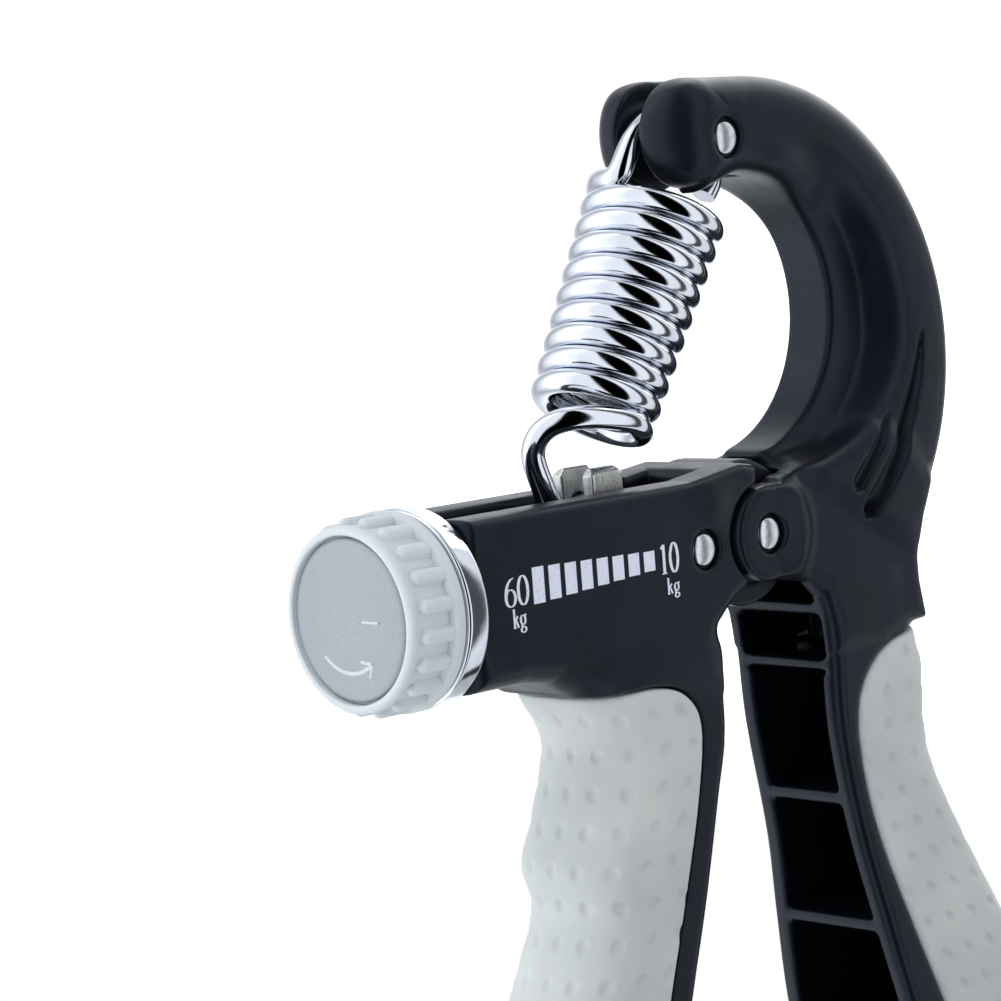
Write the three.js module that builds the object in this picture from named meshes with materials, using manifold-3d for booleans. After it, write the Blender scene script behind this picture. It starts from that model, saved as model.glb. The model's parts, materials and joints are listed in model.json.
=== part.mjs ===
// Adjustable hand grip strengthener: a sprung pair of handles with a screw-set slider.
// Millimetres, +Z up, X along the arm (knob towards -X), Y across the thickness.
// Every shape is drawn about the main pivot, and the whole is then lifted on to its handle ends.
import * as THREE from 'three';
import { mergeVertices } from 'three/addons/utils/BufferGeometryUtils.js';
import Module from 'manifold-3d';

const wasm = await Module();
wasm.setup();

// ---- Driving dimensions -------------------------------------------------------------------
const FLOOR_Z = -101.5; // handle ends below the pivot
const KNOB_FRONT_X = -68.9;
const PALM_X = 58.6; // fullest point of the palm grip
const GAP = 0.3; // clearance between touching pieces

const ARM = { front: -55.8, top: 8.9, bottom: -13.9, half: 10.2 };
const SLOT = { half: 4.2, floor: -7.2, rear: -8, front: -51.8 };
const SCREW = { z: -2.5, r: 2.4, front: -63, rear: -14.3 };
const PIVOT = { pin: 2, ear: 6.7, seat: 7.1, tongue: 10.3, tongueHalf: 6, earHalf: 11.2 };
const SPRING_PIN = { x: -1.15, z: 54.8, r: 1.9 };
const BEARING_PIN = { x: -12.2, z: -0.66, r: 1.6 };
const RIVET_HEAD = { r: 2.3, recess: 2.8, depth: 1.3, dome: 0.9 };

const HOOK = {
  inner: { x: 3.8, z: 30, r: 19.7 }, // inside of the C
  outer: { x: 6.2, z: 24, r: 39.2 }, // outside of the C
  webHalf: 4.2, // thin inner edge of the C
  topHalf: 9.2,
  rootHalf: 10.6,
  nose: { x: -4.4, z: 55.8, r: 7.7 },
  noseTaper: { x: 13, y: 10.8, z: 14 }, // rounded front of the nose, as half axes
  forkHalf: 2.2,
  forkEnd: 7.6,
};

const WIRE = 3.3; // spring wire diameter
const COIL = { top: [-6.5, 46.7], end: [-22.74, 18.2], turns: 9.75, rTop: 8.5, rEnd: 7.2 };
const SLIDER = { x: -24, half: 3.9, length: 8, pinZ: 6.7, pinR: 1.5, top: 12 };

const KNOB = { r: 13, ribs: 20, rear: -60.1, rib: 1.1 };
const COLLAR = { r: 13.2, front: -59.7, rear: -56.1 };

const GRIP = { proud: 0.6, thickness: 2.2, bottom: -99.3 };
const RIB_Z = [-12.5, -20.8, -40.7, -60.1, -80];
const RIB_THICK = 1.8;

// Handle stations, top to bottom: [z, value]. Front edge, back and half width of each handle.
const REAR_FRONT = [[-10, 11.6], [-18, 13.1], [-31, 13.8], [-50, 17.4], [-74, 22.3], [-101.5, 29.5]];
const REAR_BACK = [
  [-8, 33.2], [-18, 34.8], [-23.5, 36.3], [-32, 36.2], [-39, 37.6], [-51.5, 43.9], [-67, 52],
  [-80, 57.2], [-89, 58.6], [-96, 57.2], [-101.5, 52.5],
];
const REAR_HALF = [
  [-8, 10.6], [-25, 9.8], [-45, 9.8], [-60, 11.4], [-75, 13.1], [-88, 13.4], [-101.5, 12.6],
];
const FRONT_BACK = [
  [-10, -9.2], [-15, -10.2], [-26, -10.3], [-35, -12.6], [-48.4, -16.3], [-61.5, -20.5], [-82, -26.8],
  [-101.5, -31.5],
];
const FRONT_FACE = [
  [-13, -36.5], [-18.5, -34.6], [-25.8, -31], [-36, -34], [-41.7, -36.4], [-48.3, -35.1], [-58, -39.6],
  [-64, -42.3], [-70.6, -41], [-80, -45], [-85.5, -47.2], [-91.8, -46], [-98, -48.4], [-101.5, -47.6],
];
const FRONT_HALF = [[-8, ARM.half], [-101.5, ARM.half]];

// ---- Solids ------------------------------------------------------------------------------
function solid(geometry) {
  const bare = geometry.index ? geometry.toNonIndexed() : geometry.clone();
  bare.deleteAttribute('normal');
  bare.deleteAttribute('uv');
  const merged = mergeVertices(bare, 1e-4);
  const mesh = new wasm.Mesh({
    numProp: 3,
    vertProperties: merged.attributes.position.array,
    triVerts: new Uint32Array(merged.index.array),
  });
  const made = new wasm.Manifold(mesh);
  if (made.volume() >= 0) return made;
  const flipped = new Uint32Array(merged.index.array);
  for (let i = 0; i < flipped.length; i += 3) [flipped[i], flipped[i + 1]] = [flipped[i + 1], flipped[i]];
  return new wasm.Manifold(
    new wasm.Mesh({ numProp: 3, vertProperties: merged.attributes.position.array, triVerts: flipped }),
  );
}

function geometryOf(made) {
  const { vertProperties, triVerts, numProp } = made.getMesh();
  const positions = new Float32Array((vertProperties.length / numProp) * 3);
  for (let i = 0; i < positions.length / 3; i++) {
    for (let k = 0; k < 3; k++) positions[3 * i + k] = vertProperties[numProp * i + k];
  }
  const geometry = new THREE.BufferGeometry();
  geometry.setAttribute('position', new THREE.BufferAttribute(positions, 3));
  geometry.setIndex(new THREE.BufferAttribute(new Uint32Array(triVerts), 1));
  const flat = geometry.toNonIndexed();
  flat.computeVertexNormals();
  return flat;
}

const union = (first, ...rest) => rest.reduce((sum, piece) => sum.add(piece), first);
const cut = (first, ...rest) => rest.reduce((left, piece) => left.subtract(piece), first);

// A side-view outline (x, z) extruded across the thickness from y = low to y = high.
function slab(outline, low, high, bevel = 0, curveSegments = 10) {
  const drawn = outline.getPoints(curveSegments);
  const apart = drawn.filter((p, i) => p.distanceTo(drawn[(i + 1) % drawn.length]) > 0.05);
  const shape = new THREE.Shape(apart);
  const geometry = new THREE.ExtrudeGeometry(shape, {
    depth: high - low - 2 * bevel,
    bevelEnabled: bevel > 0,
    bevelThickness: bevel,
    bevelSize: bevel,
    bevelOffset: -bevel,
    bevelSegments: 1,
    curveSegments,
  });
  geometry.rotateX(Math.PI / 2);
  geometry.translate(0, high - bevel, 0);
  return solid(geometry);
}

function block(x0, x1, y0, y1, z0, z1) {
  const geometry = new THREE.BoxGeometry(x1 - x0, y1 - y0, z1 - z0);
  geometry.translate((x0 + x1) / 2, (y0 + y1) / 2, (z0 + z1) / 2);
  return solid(geometry);
}

// A turned piece: [radius, position along the axis] pairs, closed on themselves or on the axis.
function turned(profile, axis, x, z, segments = 28) {
  const geometry = new THREE.LatheGeometry(profile.map(([r, a]) => new THREE.Vector2(r, a)), segments);
  if (axis === 'x') geometry.rotateZ(-Math.PI / 2).translate(0, 0, z);
  if (axis === 'y') geometry.translate(x, 0, z);
  return solid(geometry);
}

const rod = (r, low, high, axis, x, z, segments) =>
  turned([[0, low], [r, low], [r, high], [0, high]], axis, x, z, segments);
const tubeRing = (inner, outer, low, high, axis, x, z, segments) =>
  turned([[inner, low], [outer, low], [outer, high], [inner, high], [inner, low]], axis, x, z, segments);

// Rings of equal length joined into one closed skin; flat holds each end ring's own plane points.
function loft(rings, firstFlat, lastFlat) {
  const count = rings[0].length;
  const positions = rings.flat().flatMap((p) => [p.x, p.y, p.z]);
  const faces = [];
  for (let i = 0; i + 1 < rings.length; i++) {
    for (let k = 0; k < count; k++) {
      const a = i * count + k;
      const b = i * count + ((k + 1) % count);
      faces.push(a, b, b + count, a, b + count, a + count);
    }
  }
  const last = (rings.length - 1) * count;
  const turnedRound = THREE.ShapeUtils.isClockWise(firstFlat);
  const cap = (flat, start, reversed) => {
    for (const [a, b, c] of THREE.ShapeUtils.triangulateShape(flat, [])) {
      faces.push(start + a, start + (reversed ? c : b), start + (reversed ? b : c));
    }
  };
  cap(firstFlat, 0, !turnedRound);
  cap(lastFlat, last, turnedRound);
  const geometry = new THREE.BufferGeometry();
  geometry.setAttribute('position', new THREE.Float32BufferAttribute(positions, 3));
  geometry.setIndex(faces);
  return solid(geometry);
}

// Smooth value between stations, by height.
function along(stations, z) {
  const curve = new THREE.SplineCurve(stations.map(([h, v]) => new THREE.Vector2(h, v)));
  let low = 0;
  let high = 1;
  for (let i = 0; i < 40; i++) {
    const middle = (low + high) / 2;
    if (curve.getPoint(middle).x > z) low = middle;
    else high = middle;
  }
  return curve.getPoint((low + high) / 2).y;
}

function shapeOf(points) {
  return new THREE.Shape(points.map(([x, z]) => new THREE.Vector2(x, z)));
}

function disc(x, z, r, segments = 28) {
  const points = [];
  for (let i = 0; i < segments; i++) {
    const angle = (2 * Math.PI * i) / segments;
    points.push([x + r * Math.cos(angle), z + r * Math.sin(angle)]);
  }
  return shapeOf(points);
}

// ---- Handles ------------------------------------------------------------------------------
// One level of a handle: flat towards the gap between the handles, rounded towards the hand.
function handleRing(z, flatX, roundX, half, depth) {
  const side = Math.sign(roundX - flatX);
  const corner = new THREE.Vector2(roundX - side * depth, half);
  const ring = [new THREE.Vector3(flatX, -half, z)];
  const steps = 6;
  for (let i = 0; i <= steps; i++) {
    const angle = (Math.PI * i) / steps - Math.PI / 2;
    const across = Math.sign(Math.sin(angle)) * Math.abs(Math.sin(angle)) ** 0.8;
    const out = Math.abs(Math.cos(angle)) ** 0.8;
    ring.push(new THREE.Vector3(corner.x + side * depth * out, across * corner.y, z));
  }
  ring.push(new THREE.Vector3(flatX, half, z));
  return ring;
}

function handle(levels, flat, round, half, inset, flatInset = 0, roundInset = inset) {
  const rings = levels.map((z) => {
    const w = along(half, z) - inset;
    const side = Math.sign(along(round, z) - along(flat, z));
    const flatX = along(flat, z) + side * flatInset;
    return handleRing(z, flatX, along(round, z) - side * roundInset, w, 0.85 * w);
  });
  const flatEnd = (ring) => ring.map((p) => new THREE.Vector2(p.x, p.y));
  return loft(rings, flatEnd(rings[0]), flatEnd(rings.at(-1)));
}

function levelsBetween(top, bottom, count) {
  return Array.from({ length: count + 1 }, (_, i) => top + ((bottom - top) * i) / count);
}

// Side-view region that a grip covers, open past the hand side and below.
function gripRegion(edge, outerX, offset) {
  const shape = new THREE.Shape();
  shape.moveTo(outerX, edge[0][1] + offset);
  shape.lineTo(edge[0][0], edge[0][1] + offset);
  const inward = Math.sign(outerX) * offset;
  shape.splineThru(edge.slice(1).map(([x, z]) => new THREE.Vector2(x - inward, z + offset / 2)));
  shape.lineTo(edge.at(-1)[0], edge.at(-1)[1] - offset);
  shape.lineTo(outerX, edge.at(-1)[1] - offset);
  return shape;
}

const REAR_LEVELS = levelsBetween(-8, FLOOR_Z, 13);
const FRONT_LEVELS = levelsBetween(-12, FLOOR_Z, 17);

const REAR_EDGE = [
  [38, -17], [30.6, -17.9], [24.5, -19.4], [19.6, -23.5], [17.6, -29.5], [18.7, -39.6], [21.8, -51.2],
  [25.6, -63.1], [31.6, -81], [36.5, -99.3],
];
const FRONT_EDGE = [
  [-52, -17.4], [-34, -17.8], [-24, -17.8], [-18.4, -19.7], [-15.9, -24.4], [-17.5, -34.3], [-21.4, -47.3],
  [-25.7, -60.3], [-31.9, -80], [-36.7, -99.3],
];

function rearHandle() {
  const strip = handle(REAR_LEVELS, REAR_FRONT, REAR_BACK, REAR_HALF, 0);
  const core = handle(REAR_LEVELS, REAR_FRONT, REAR_BACK, REAR_HALF, GRIP.thickness - GRIP.proud + GAP);
  const cover = slab(gripRegion(REAR_EDGE, 75, GAP), -20, 20, 0, 3);
  const pocket = cut(
    handle(levelsBetween(-7.5, -99, 10), REAR_FRONT, REAR_BACK, REAR_HALF, 3.2, -3, 4.4),
    ...RIB_Z.map((z) => block(-5, 70, -20, 20, z - RIB_THICK / 2, z + RIB_THICK / 2)),
  );
  const spine = cut(union(cut(strip, cover), core), pocket);
  return { spine, cover };
}

const pointOn = ({ x, z, r }, angle) => new THREE.Vector2(x + r * Math.cos(angle), z + r * Math.sin(angle));

// Cross-sections of the C, from its root by the pivot up to the nose.
function hookRings(steps) {
  const rings = [];
  for (let i = 0; i <= steps; i++) {
    const t = i / steps;
    const innerAngle = THREE.MathUtils.degToRad(-82 + t * 182);
    const outerAngle = THREE.MathUtils.degToRad(-47 + t * 148);
    const { inner, outer } = HOOK;
    const a = pointOn(inner, innerAngle);
    const b = pointOn(outer, outerAngle);
    const half = THREE.MathUtils.lerp(HOOK.rootHalf, HOOK.topHalf, Math.min(1, t * 1.6));
    const ends = Math.min(1, 6 * (1 - t));
    const web = THREE.MathUtils.lerp(half - 2, HOOK.webHalf, ends);
    const ridge = THREE.MathUtils.lerp(0.14, 0.42, Math.min(1, t * 2.8));
    // [share of the way out, half thickness]: thin inner edge, hollow flare, side, rounded outside
    const section = [
      [0, web - 1], [0.04, web], [0.55 * ridge, web + (half - web) * 0.3], [ridge, half], [0.88, half],
      [1, half - 3],
    ];
    const side = (sign) => section.map(([u, y]) => {
      const p = a.clone().lerp(b, u);
      return new THREE.Vector3(p.x, sign * y, p.y);
    });
    rings.push([...side(-1), ...side(1).reverse()]);
  }
  return rings;
}

function hook() {
  const rings = hookRings(17);
  const flatEnd = (ring) => {
    const origin = ring[0];
    return ring.map((p) => new THREE.Vector2(Math.hypot(p.x - origin.x, p.z - origin.z), p.y));
  };
  const bow = loft(rings, flatEnd(rings[0]), flatEnd(rings.at(-1)));
  const { nose, noseTaper, topHalf, forkHalf, forkEnd } = HOOK;
  const taper = new THREE.SphereGeometry(1, 24, 16).scale(noseTaper.x, noseTaper.y, noseTaper.z);
  const rounded = solid(taper.translate(0, 0, nose.z));
  const tip = slab(disc(nose.x, nose.z, nose.r, 22), -topHalf, topHalf, 2.4).intersect(rounded);
  const fork = slab(shapeOf([[-30, 30], [3, 30], [forkEnd, 46], [forkEnd, 70], [-30, 70]]), -forkHalf, forkHalf);
  return { bow, tip, fork };
}

// A groove with round ends pressed into both sides of the hook's root.
function groove(points, r, y) {
  const path = new THREE.CatmullRomCurve3(points.map(([x, z]) => new THREE.Vector3(x, y, z)));
  return wireTube(path, r, 6, 6);
}

function wireTube(path, r, steps, sides) {
  const section = new THREE.Shape();
  for (let i = 0; i < sides; i++) {
    const angle = (2 * Math.PI * i) / sides;
    const point = [r * Math.cos(angle), r * Math.sin(angle)];
    if (i === 0) section.moveTo(...point);
    else section.lineTo(...point);
  }
  return solid(new THREE.ExtrudeGeometry(section, { steps, extrudePath: path, curveSegments: 1 }));
}

const LONG_GROOVE = [[37, 25], [35, 18.5], [31.2, 11.5], [26.5, 5.4], [21.8, 1]];
const SHORT_GROOVE = [[28.5, 14], [24.2, 9.6], [19.2, 4.6]];

function rearBody() {
  const { spine, cover } = rearHandle();
  const { bow, tip, fork } = hook();
  const root = shapeOf([
    [0, 6.6], [3.4, 7.2], [8.6, 7.6], [17.5, 11], [22.3, 14.8], [28, 14], [35, 3], [33.4, -1.5],
    [33, -6], [33.2, -11], [34.4, -17], [30, -17.2], [24, -19], [13.2, -19], [12.8, -14], [11, -10.5],
    [8.5, -8.1], [3.3, -6.7], [0, -6.7],
  ]);
  const cheeks = slab(root, -HOOK.rootHalf, HOOK.rootHalf, 0.8);
  const ears = slab(disc(0, 0, PIVOT.ear, 24), -PIVOT.earHalf, PIVOT.earHalf, 0.6);
  const tongueRoom = slab(
    disc(0, 0, PIVOT.tongue + 0.5, 28), -PIVOT.tongueHalf - 0.4, PIVOT.tongueHalf + 0.4,
  );
  const hollow = slab(
    shapeOf([[-9, -5], [9, -5], [17, -8], [28, -13.4], [28, -22], [0, -22]]), -7.7, 7.7,
  );
  const ribs = RIB_Z.slice(0, 2).map((z) =>
    block(11.5 + (z + 20.8) * 0.3, 32, -8.5, 8.5, z - RIB_THICK / 2, z + RIB_THICK / 2));
  const grooves = [-1, 1].flatMap((side) => [
    groove(LONG_GROOVE, 1.5, side * 10.6),
    groove(SHORT_GROOVE, 1.1, side * 10.7),
  ]);
  const frontRoom = cut(
    slab(shapeOf([[-14, -7], [-3, -6.9], [5, 9.2], [-1.6, 8.6], [-1.6, 12], [-14, 12]]), -13, 13),
    slab(disc(0, 0, PIVOT.ear + 0.1), -12, 12),
  );
  return cut(
    union(cut(union(cheeks, bow, tip), frontRoom, cover), ears, spine),
    tongueRoom, cut(hollow, ...ribs), fork, ...grooves,
    ...rivetHoles(0, 0, PIVOT.pin, PIVOT.earHalf),
    ...rivetHoles(SPRING_PIN.x, SPRING_PIN.z, SPRING_PIN.r, HOOK.topHalf),
  );
}

function grip(edge, flat, round, half, outerX, innerLevels) {
  const levels = levelsBetween(innerLevels[0] - 3, GRIP.bottom, 20);
  const outer = handle(levels, flat, round, half, -GRIP.proud, 0, 0);
  const inner = handle(innerLevels, flat, round, half, GRIP.thickness - GRIP.proud, -6);
  return cut(outer.intersect(slab(gripRegion(edge, outerX, 0), -20, 20, 0, 3)), inner);
}

function frontBody() {
  const { front, top, bottom, half } = ARM;
  const arm = new THREE.Shape();
  arm.moveTo(front, bottom);
  arm.lineTo(-46, bottom);
  arm.quadraticCurveTo(-40, bottom, -37, -16.8);
  arm.lineTo(-33, -20);
  arm.lineTo(-12, -20);
  const chin = [[-10.1, -14.8], [-9.3, -11.4], [-7, -8.5], [-3.7, -6.8]];
  arm.splineThru(chin.map(([x, z]) => new THREE.Vector2(x, z)));
  arm.lineTo(-0.6, 0);
  arm.lineTo(-0.6, PIVOT.tongue - 0.6);
  arm.quadraticCurveTo(-3, 10.6, -8, 9.6);
  arm.lineTo(-14, top);
  arm.lineTo(front, top);
  const strip = handle(FRONT_LEVELS, FRONT_BACK, FRONT_FACE, FRONT_HALF, 0);
  const core = handle(FRONT_LEVELS, FRONT_BACK, FRONT_FACE, FRONT_HALF, GRIP.thickness - GRIP.proud + GAP);
  const cover = slab(gripRegion(FRONT_EDGE, -75, GAP), -20, 20, 0, 3);
  const seats = [-1, 1].map((side) =>
    slab(disc(0, 0, PIVOT.seat, 24), Math.min(side * 6, side * 14), Math.max(side * 6, side * 14)));
  const tongue = slab(disc(0, 0, PIVOT.tongue, 28), -PIVOT.tongueHalf, PIVOT.tongueHalf, 0.5);
  const channel = block(SLOT.front, SLOT.rear, -SLOT.half, SLOT.half, SLOT.floor, 20);
  const mouth = block(front - 5, SLOT.front + 1, -SLOT.half, SLOT.half, 2.6, 20);
  const bore = rod(4.5, front - 3, SLOT.front + 1, 'x', 0, SCREW.z);
  return cut(
    union(cut(union(slab(arm, -half, half, 0.3), strip), cover), core, tongue),
    ...seats, channel, mouth, bore,
    ...rivetHoles(BEARING_PIN.x, BEARING_PIN.z, BEARING_PIN.r, half),
    rod(PIVOT.pin + GAP, -15, 15, 'y', 0, 0, 24),
  );
}

// ---- Pins ---------------------------------------------------------------------------------
// The through hole and the two head recesses of a rivet in a body of that half thickness.
function rivetHoles(x, z, r, half) {
  return [
    rod(r + GAP, -20, 20, 'y', x, z, 16),
    rod(RIVET_HEAD.recess, half - RIVET_HEAD.depth, 20, 'y', x, z, 18),
    rod(RIVET_HEAD.recess, -20, RIVET_HEAD.depth - half, 'y', x, z, 18),
  ];
}

// A rivet with two domed heads that sit in their recesses.
function rivet(x, z, r, half) {
  const seat = half - RIVET_HEAD.depth + GAP;
  const crown = seat + RIVET_HEAD.dome;
  const head = RIVET_HEAD.r;
  const side = [[r, seat], [head, seat], [head, seat + 0.25], [head * 0.6, crown - 0.12]];
  const mirrored = side.map(([radius, y]) => [radius, -y]).reverse();
  return turned([[0, -crown], ...mirrored, ...side, [0, crown]], 'y', x, z, 16);
}

// ---- Knob and screw -----------------------------------------------------------------------
function knobGripRing() {
  const { r, ribs, rear, rib } = KNOB;
  const outline = new THREE.Shape();
  for (let i = 0; i < ribs; i++) {
    const start = (2 * Math.PI * i) / ribs;
    const step = (2 * Math.PI) / ribs;
    const corners = [[0, r - rib], [0.34, r - rib], [0.44, r], [0.9, r]];
    for (const [share, radius] of corners) {
      const angle = start + step * share;
      const point = [radius * Math.cos(angle), radius * Math.sin(angle)];
      if (i === 0 && share === 0) outline.moveTo(...point);
      else outline.lineTo(...point);
    }
  }
  const ribbed = new THREE.ExtrudeGeometry(outline, { depth: 5.4, bevelEnabled: false, curveSegments: 1 });
  ribbed.rotateY(Math.PI / 2).translate(KNOB_FRONT_X + 2.3, 0, SCREW.z);
  const lip = turned([
    [0, KNOB_FRONT_X + 0.4], [r - 1.6, KNOB_FRONT_X + 0.4], [r - 0.8, KNOB_FRONT_X + 0.9],
    [r - 0.5, KNOB_FRONT_X + 1.7], [r - rib, KNOB_FRONT_X + 2.7], [0, KNOB_FRONT_X + 2.7],
  ], 'x', 0, SCREW.z, 30);
  const flange = turned([
    [0, rear - 1.9], [r - 0.3, rear - 1.9], [r + 0.2, rear - 1.4], [r + 0.2, rear], [0, rear],
  ], 'x', 0, SCREW.z, 30);
  return cut(
    union(solid(ribbed), lip, flange),
    rod(8.8, KNOB_FRONT_X - 1, rear + 1, 'x', 0, SCREW.z, 24),
    rod(10.9, KNOB_FRONT_X - 1, KNOB_FRONT_X + 1.8, 'x', 0, SCREW.z, 30),
  );
}

function knobCap() {
  const x = KNOB_FRONT_X;
  return turned([
    [0, x + 1.5], [10.6, x + 1.5], [10.6, x + 0.9], [9.8, x + 0.5], [6, x + 0.15], [0, x],
  ], 'x', 0, SCREW.z, 28);
}

const knobHub = () => turned([
  [2.7, KNOB.rear - 0.6], [8.5, KNOB.rear - 0.6], [8.5, KNOB_FRONT_X + 1.8], [4.2, KNOB_FRONT_X + 1.8],
  [4.2, KNOB_FRONT_X + 4], [2.7, KNOB_FRONT_X + 4], [2.7, KNOB.rear - 0.6],
], 'x', 0, SCREW.z, 20);

const fixingScrew = () => turned([
  [0, KNOB_FRONT_X + 2.1], [3.2, KNOB_FRONT_X + 2.1], [3.6, KNOB_FRONT_X + 2.6], [3.6, KNOB_FRONT_X + 3.7],
  [1.3, KNOB_FRONT_X + 3.7], [1.3, SCREW.front + 3.6], [0, SCREW.front + 3.6],
], 'x', 0, SCREW.z, 18);

const adjustingScrew = () => cut(
  rod(SCREW.r, SCREW.front, SCREW.rear, 'x', 0, SCREW.z, 20),
  rod(1.6, SCREW.front - 1, SCREW.front + 4, 'x', 0, SCREW.z, 16),
);

const thrustWasher = () => tubeRing(2.7, 6.2, KNOB.rear - 0.3, COLLAR.front + 0.1, 'x', 0, SCREW.z, 24);
const collarRing = () => tubeRing(7.5, COLLAR.r, COLLAR.front, COLLAR.rear, 'x', 0, SCREW.z, 36);

const frontBearing = () => turned([
  [2.7, COLLAR.front + 0.4], [7.2, COLLAR.front + 0.4], [7.2, COLLAR.rear], [4.2, COLLAR.rear],
  [4.2, SLOT.front - 0.2], [2.7, SLOT.front - 0.2], [2.7, COLLAR.front + 0.4],
], 'x', 0, SCREW.z, 20);

const retainingClip = () => tubeRing(2.7, 3.9, SLOT.front + 0.1, SLOT.front + 0.9, 'x', 0, SCREW.z, 20);

function endBearing() {
  const body = block(-17.5, SLOT.rear - GAP, -3.9, 3.9, SLOT.floor + GAP, 2.6);
  return cut(
    body,
    rod(SCREW.r + GAP, -20, SCREW.rear + GAP, 'x', 0, SCREW.z, 20),
    rod(BEARING_PIN.r + GAP, -15, 15, 'y', BEARING_PIN.x, BEARING_PIN.z, 20),
  );
}

// ---- Slider and spring --------------------------------------------------------------------
function sliderCarriage() {
  const { x, half, length, pinZ, pinR, top } = SLIDER;
  const outline = new THREE.Shape();
  outline.moveTo(x - length / 2, SLOT.floor + GAP);
  outline.lineTo(x + length / 2, SLOT.floor + GAP);
  outline.lineTo(x + length / 2, 3);
  outline.lineTo(x + 3.1, 5);
  outline.lineTo(x + 3.1, top - 1);
  outline.lineTo(x + 2.2, top);
  outline.lineTo(x - 2.2, top);
  outline.lineTo(x - 3.1, top - 1);
  outline.lineTo(x - 3.1, 5);
  outline.lineTo(x - length / 2, 3);
  const chamfers = [-1, 1].map((side) => {
    const wedge = new THREE.BoxGeometry(20, 4, 4).rotateX(side * 0.75);
    wedge.translate(x, side * (half + 1.2), top + 0.7);
    return solid(wedge);
  });
  return cut(
    slab(outline, -half, half),
    block(x - 10, x + 10, -WIRE / 2 - GAP, WIRE / 2 + GAP, 0.9, 20),
    rod(SCREW.r + GAP, x - 10, x + 10, 'x', 0, SCREW.z, 20),
    rod(pinR + GAP, -10, 10, 'y', x, pinZ, 18),
    ...chamfers,
  );
}

// Centre line of the whole spring wire, from the end of its top hook to the end of its bottom hook.
const TOP_HOOK = [
  [2.9, 46.9], [4.5, 49.2], [4.8, 52.8], [2.7, 56.8], [-1.8, 58.95], [-6.5, 58.2], [-10.4, 55.6],
];
const BOTTOM_HOOK = [
  [-29.6, -5.3, 19.3], [-33.2, -2.3, 18.3], [-34.1, -0.3, 15.2], [-32.7, 0, 10.8], [-29, 0, 6], [-24, 0, 3.3],
  [-19.4, 0, 4.9], [-17.1, 0, 8.4], [-16.6, 0, 10],
];

function coilPoint(turn) {
  const [x0, z0] = COIL.top;
  const [x1, z1] = COIL.end;
  const length = Math.hypot(x1 - x0, z1 - z0);
  const left = { x: (z1 - z0) / length, z: -(x1 - x0) / length };
  const share = turn / COIL.turns;
  const r = THREE.MathUtils.lerp(COIL.rTop, COIL.rEnd, share);
  const angle = 2 * Math.PI * turn;
  return new THREE.Vector3(
    x0 + (x1 - x0) * share + r * Math.cos(angle) * left.x,
    r * Math.sin(angle),
    z0 + (z1 - z0) * share + r * Math.cos(angle) * left.z,
  );
}

function wirePiece(points, steps) {
  return wireTube(new THREE.CatmullRomCurve3(points, false, 'centripetal'), WIRE / 2 - 0.14, steps, 7);
}

function coilPiece(from, to) {
  const points = [];
  const count = Math.round((to - from) * 12);
  for (let i = 0; i <= count; i++) points.push(coilPoint(from + ((to - from) * i) / count));
  return wirePiece(points, Math.round((to - from) * 13));
}

const HOOK_TURN = 0.08; // share of the first turn that belongs to the top hook
const SPLIT_TURN = 5;
const SEAM = 0.012; // half the gap between two lengths of the wire, in turns

function topHook() {
  const points = TOP_HOOK.map(([x, z]) => new THREE.Vector3(x, 0, z));
  return wirePiece([...points, coilPoint(0), coilPoint(HOOK_TURN - SEAM)], 18);
}

function bottomHook() {
  const points = BOTTOM_HOOK.map(([x, y, z]) => new THREE.Vector3(x, y, z));
  return wirePiece([coilPoint(COIL.turns - 0.06 + SEAM), coilPoint(COIL.turns), ...points], 24);
}

// ---- Assembly -----------------------------------------------------------------------------
const BLACK = { color: 0x23262e, roughness: 0.42, metalness: 0 };
const GREY_RUBBER = { color: 0xd6dddd, roughness: 0.75, metalness: 0 };
const CHROME = { color: 0xdcdfe4, roughness: 0.12, metalness: 1 };
const STEEL = { color: 0xb9bdc2, roughness: 0.35, metalness: 1 };
const BRASS = { color: 0xc2a15a, roughness: 0.35, metalness: 1 };
const PALE_PLASTIC = { color: 0xc9d2da, roughness: 0.4, metalness: 0 };
const DARK_NYLON = { color: 0x3a3d42, roughness: 0.55, metalness: 0 };

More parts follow.
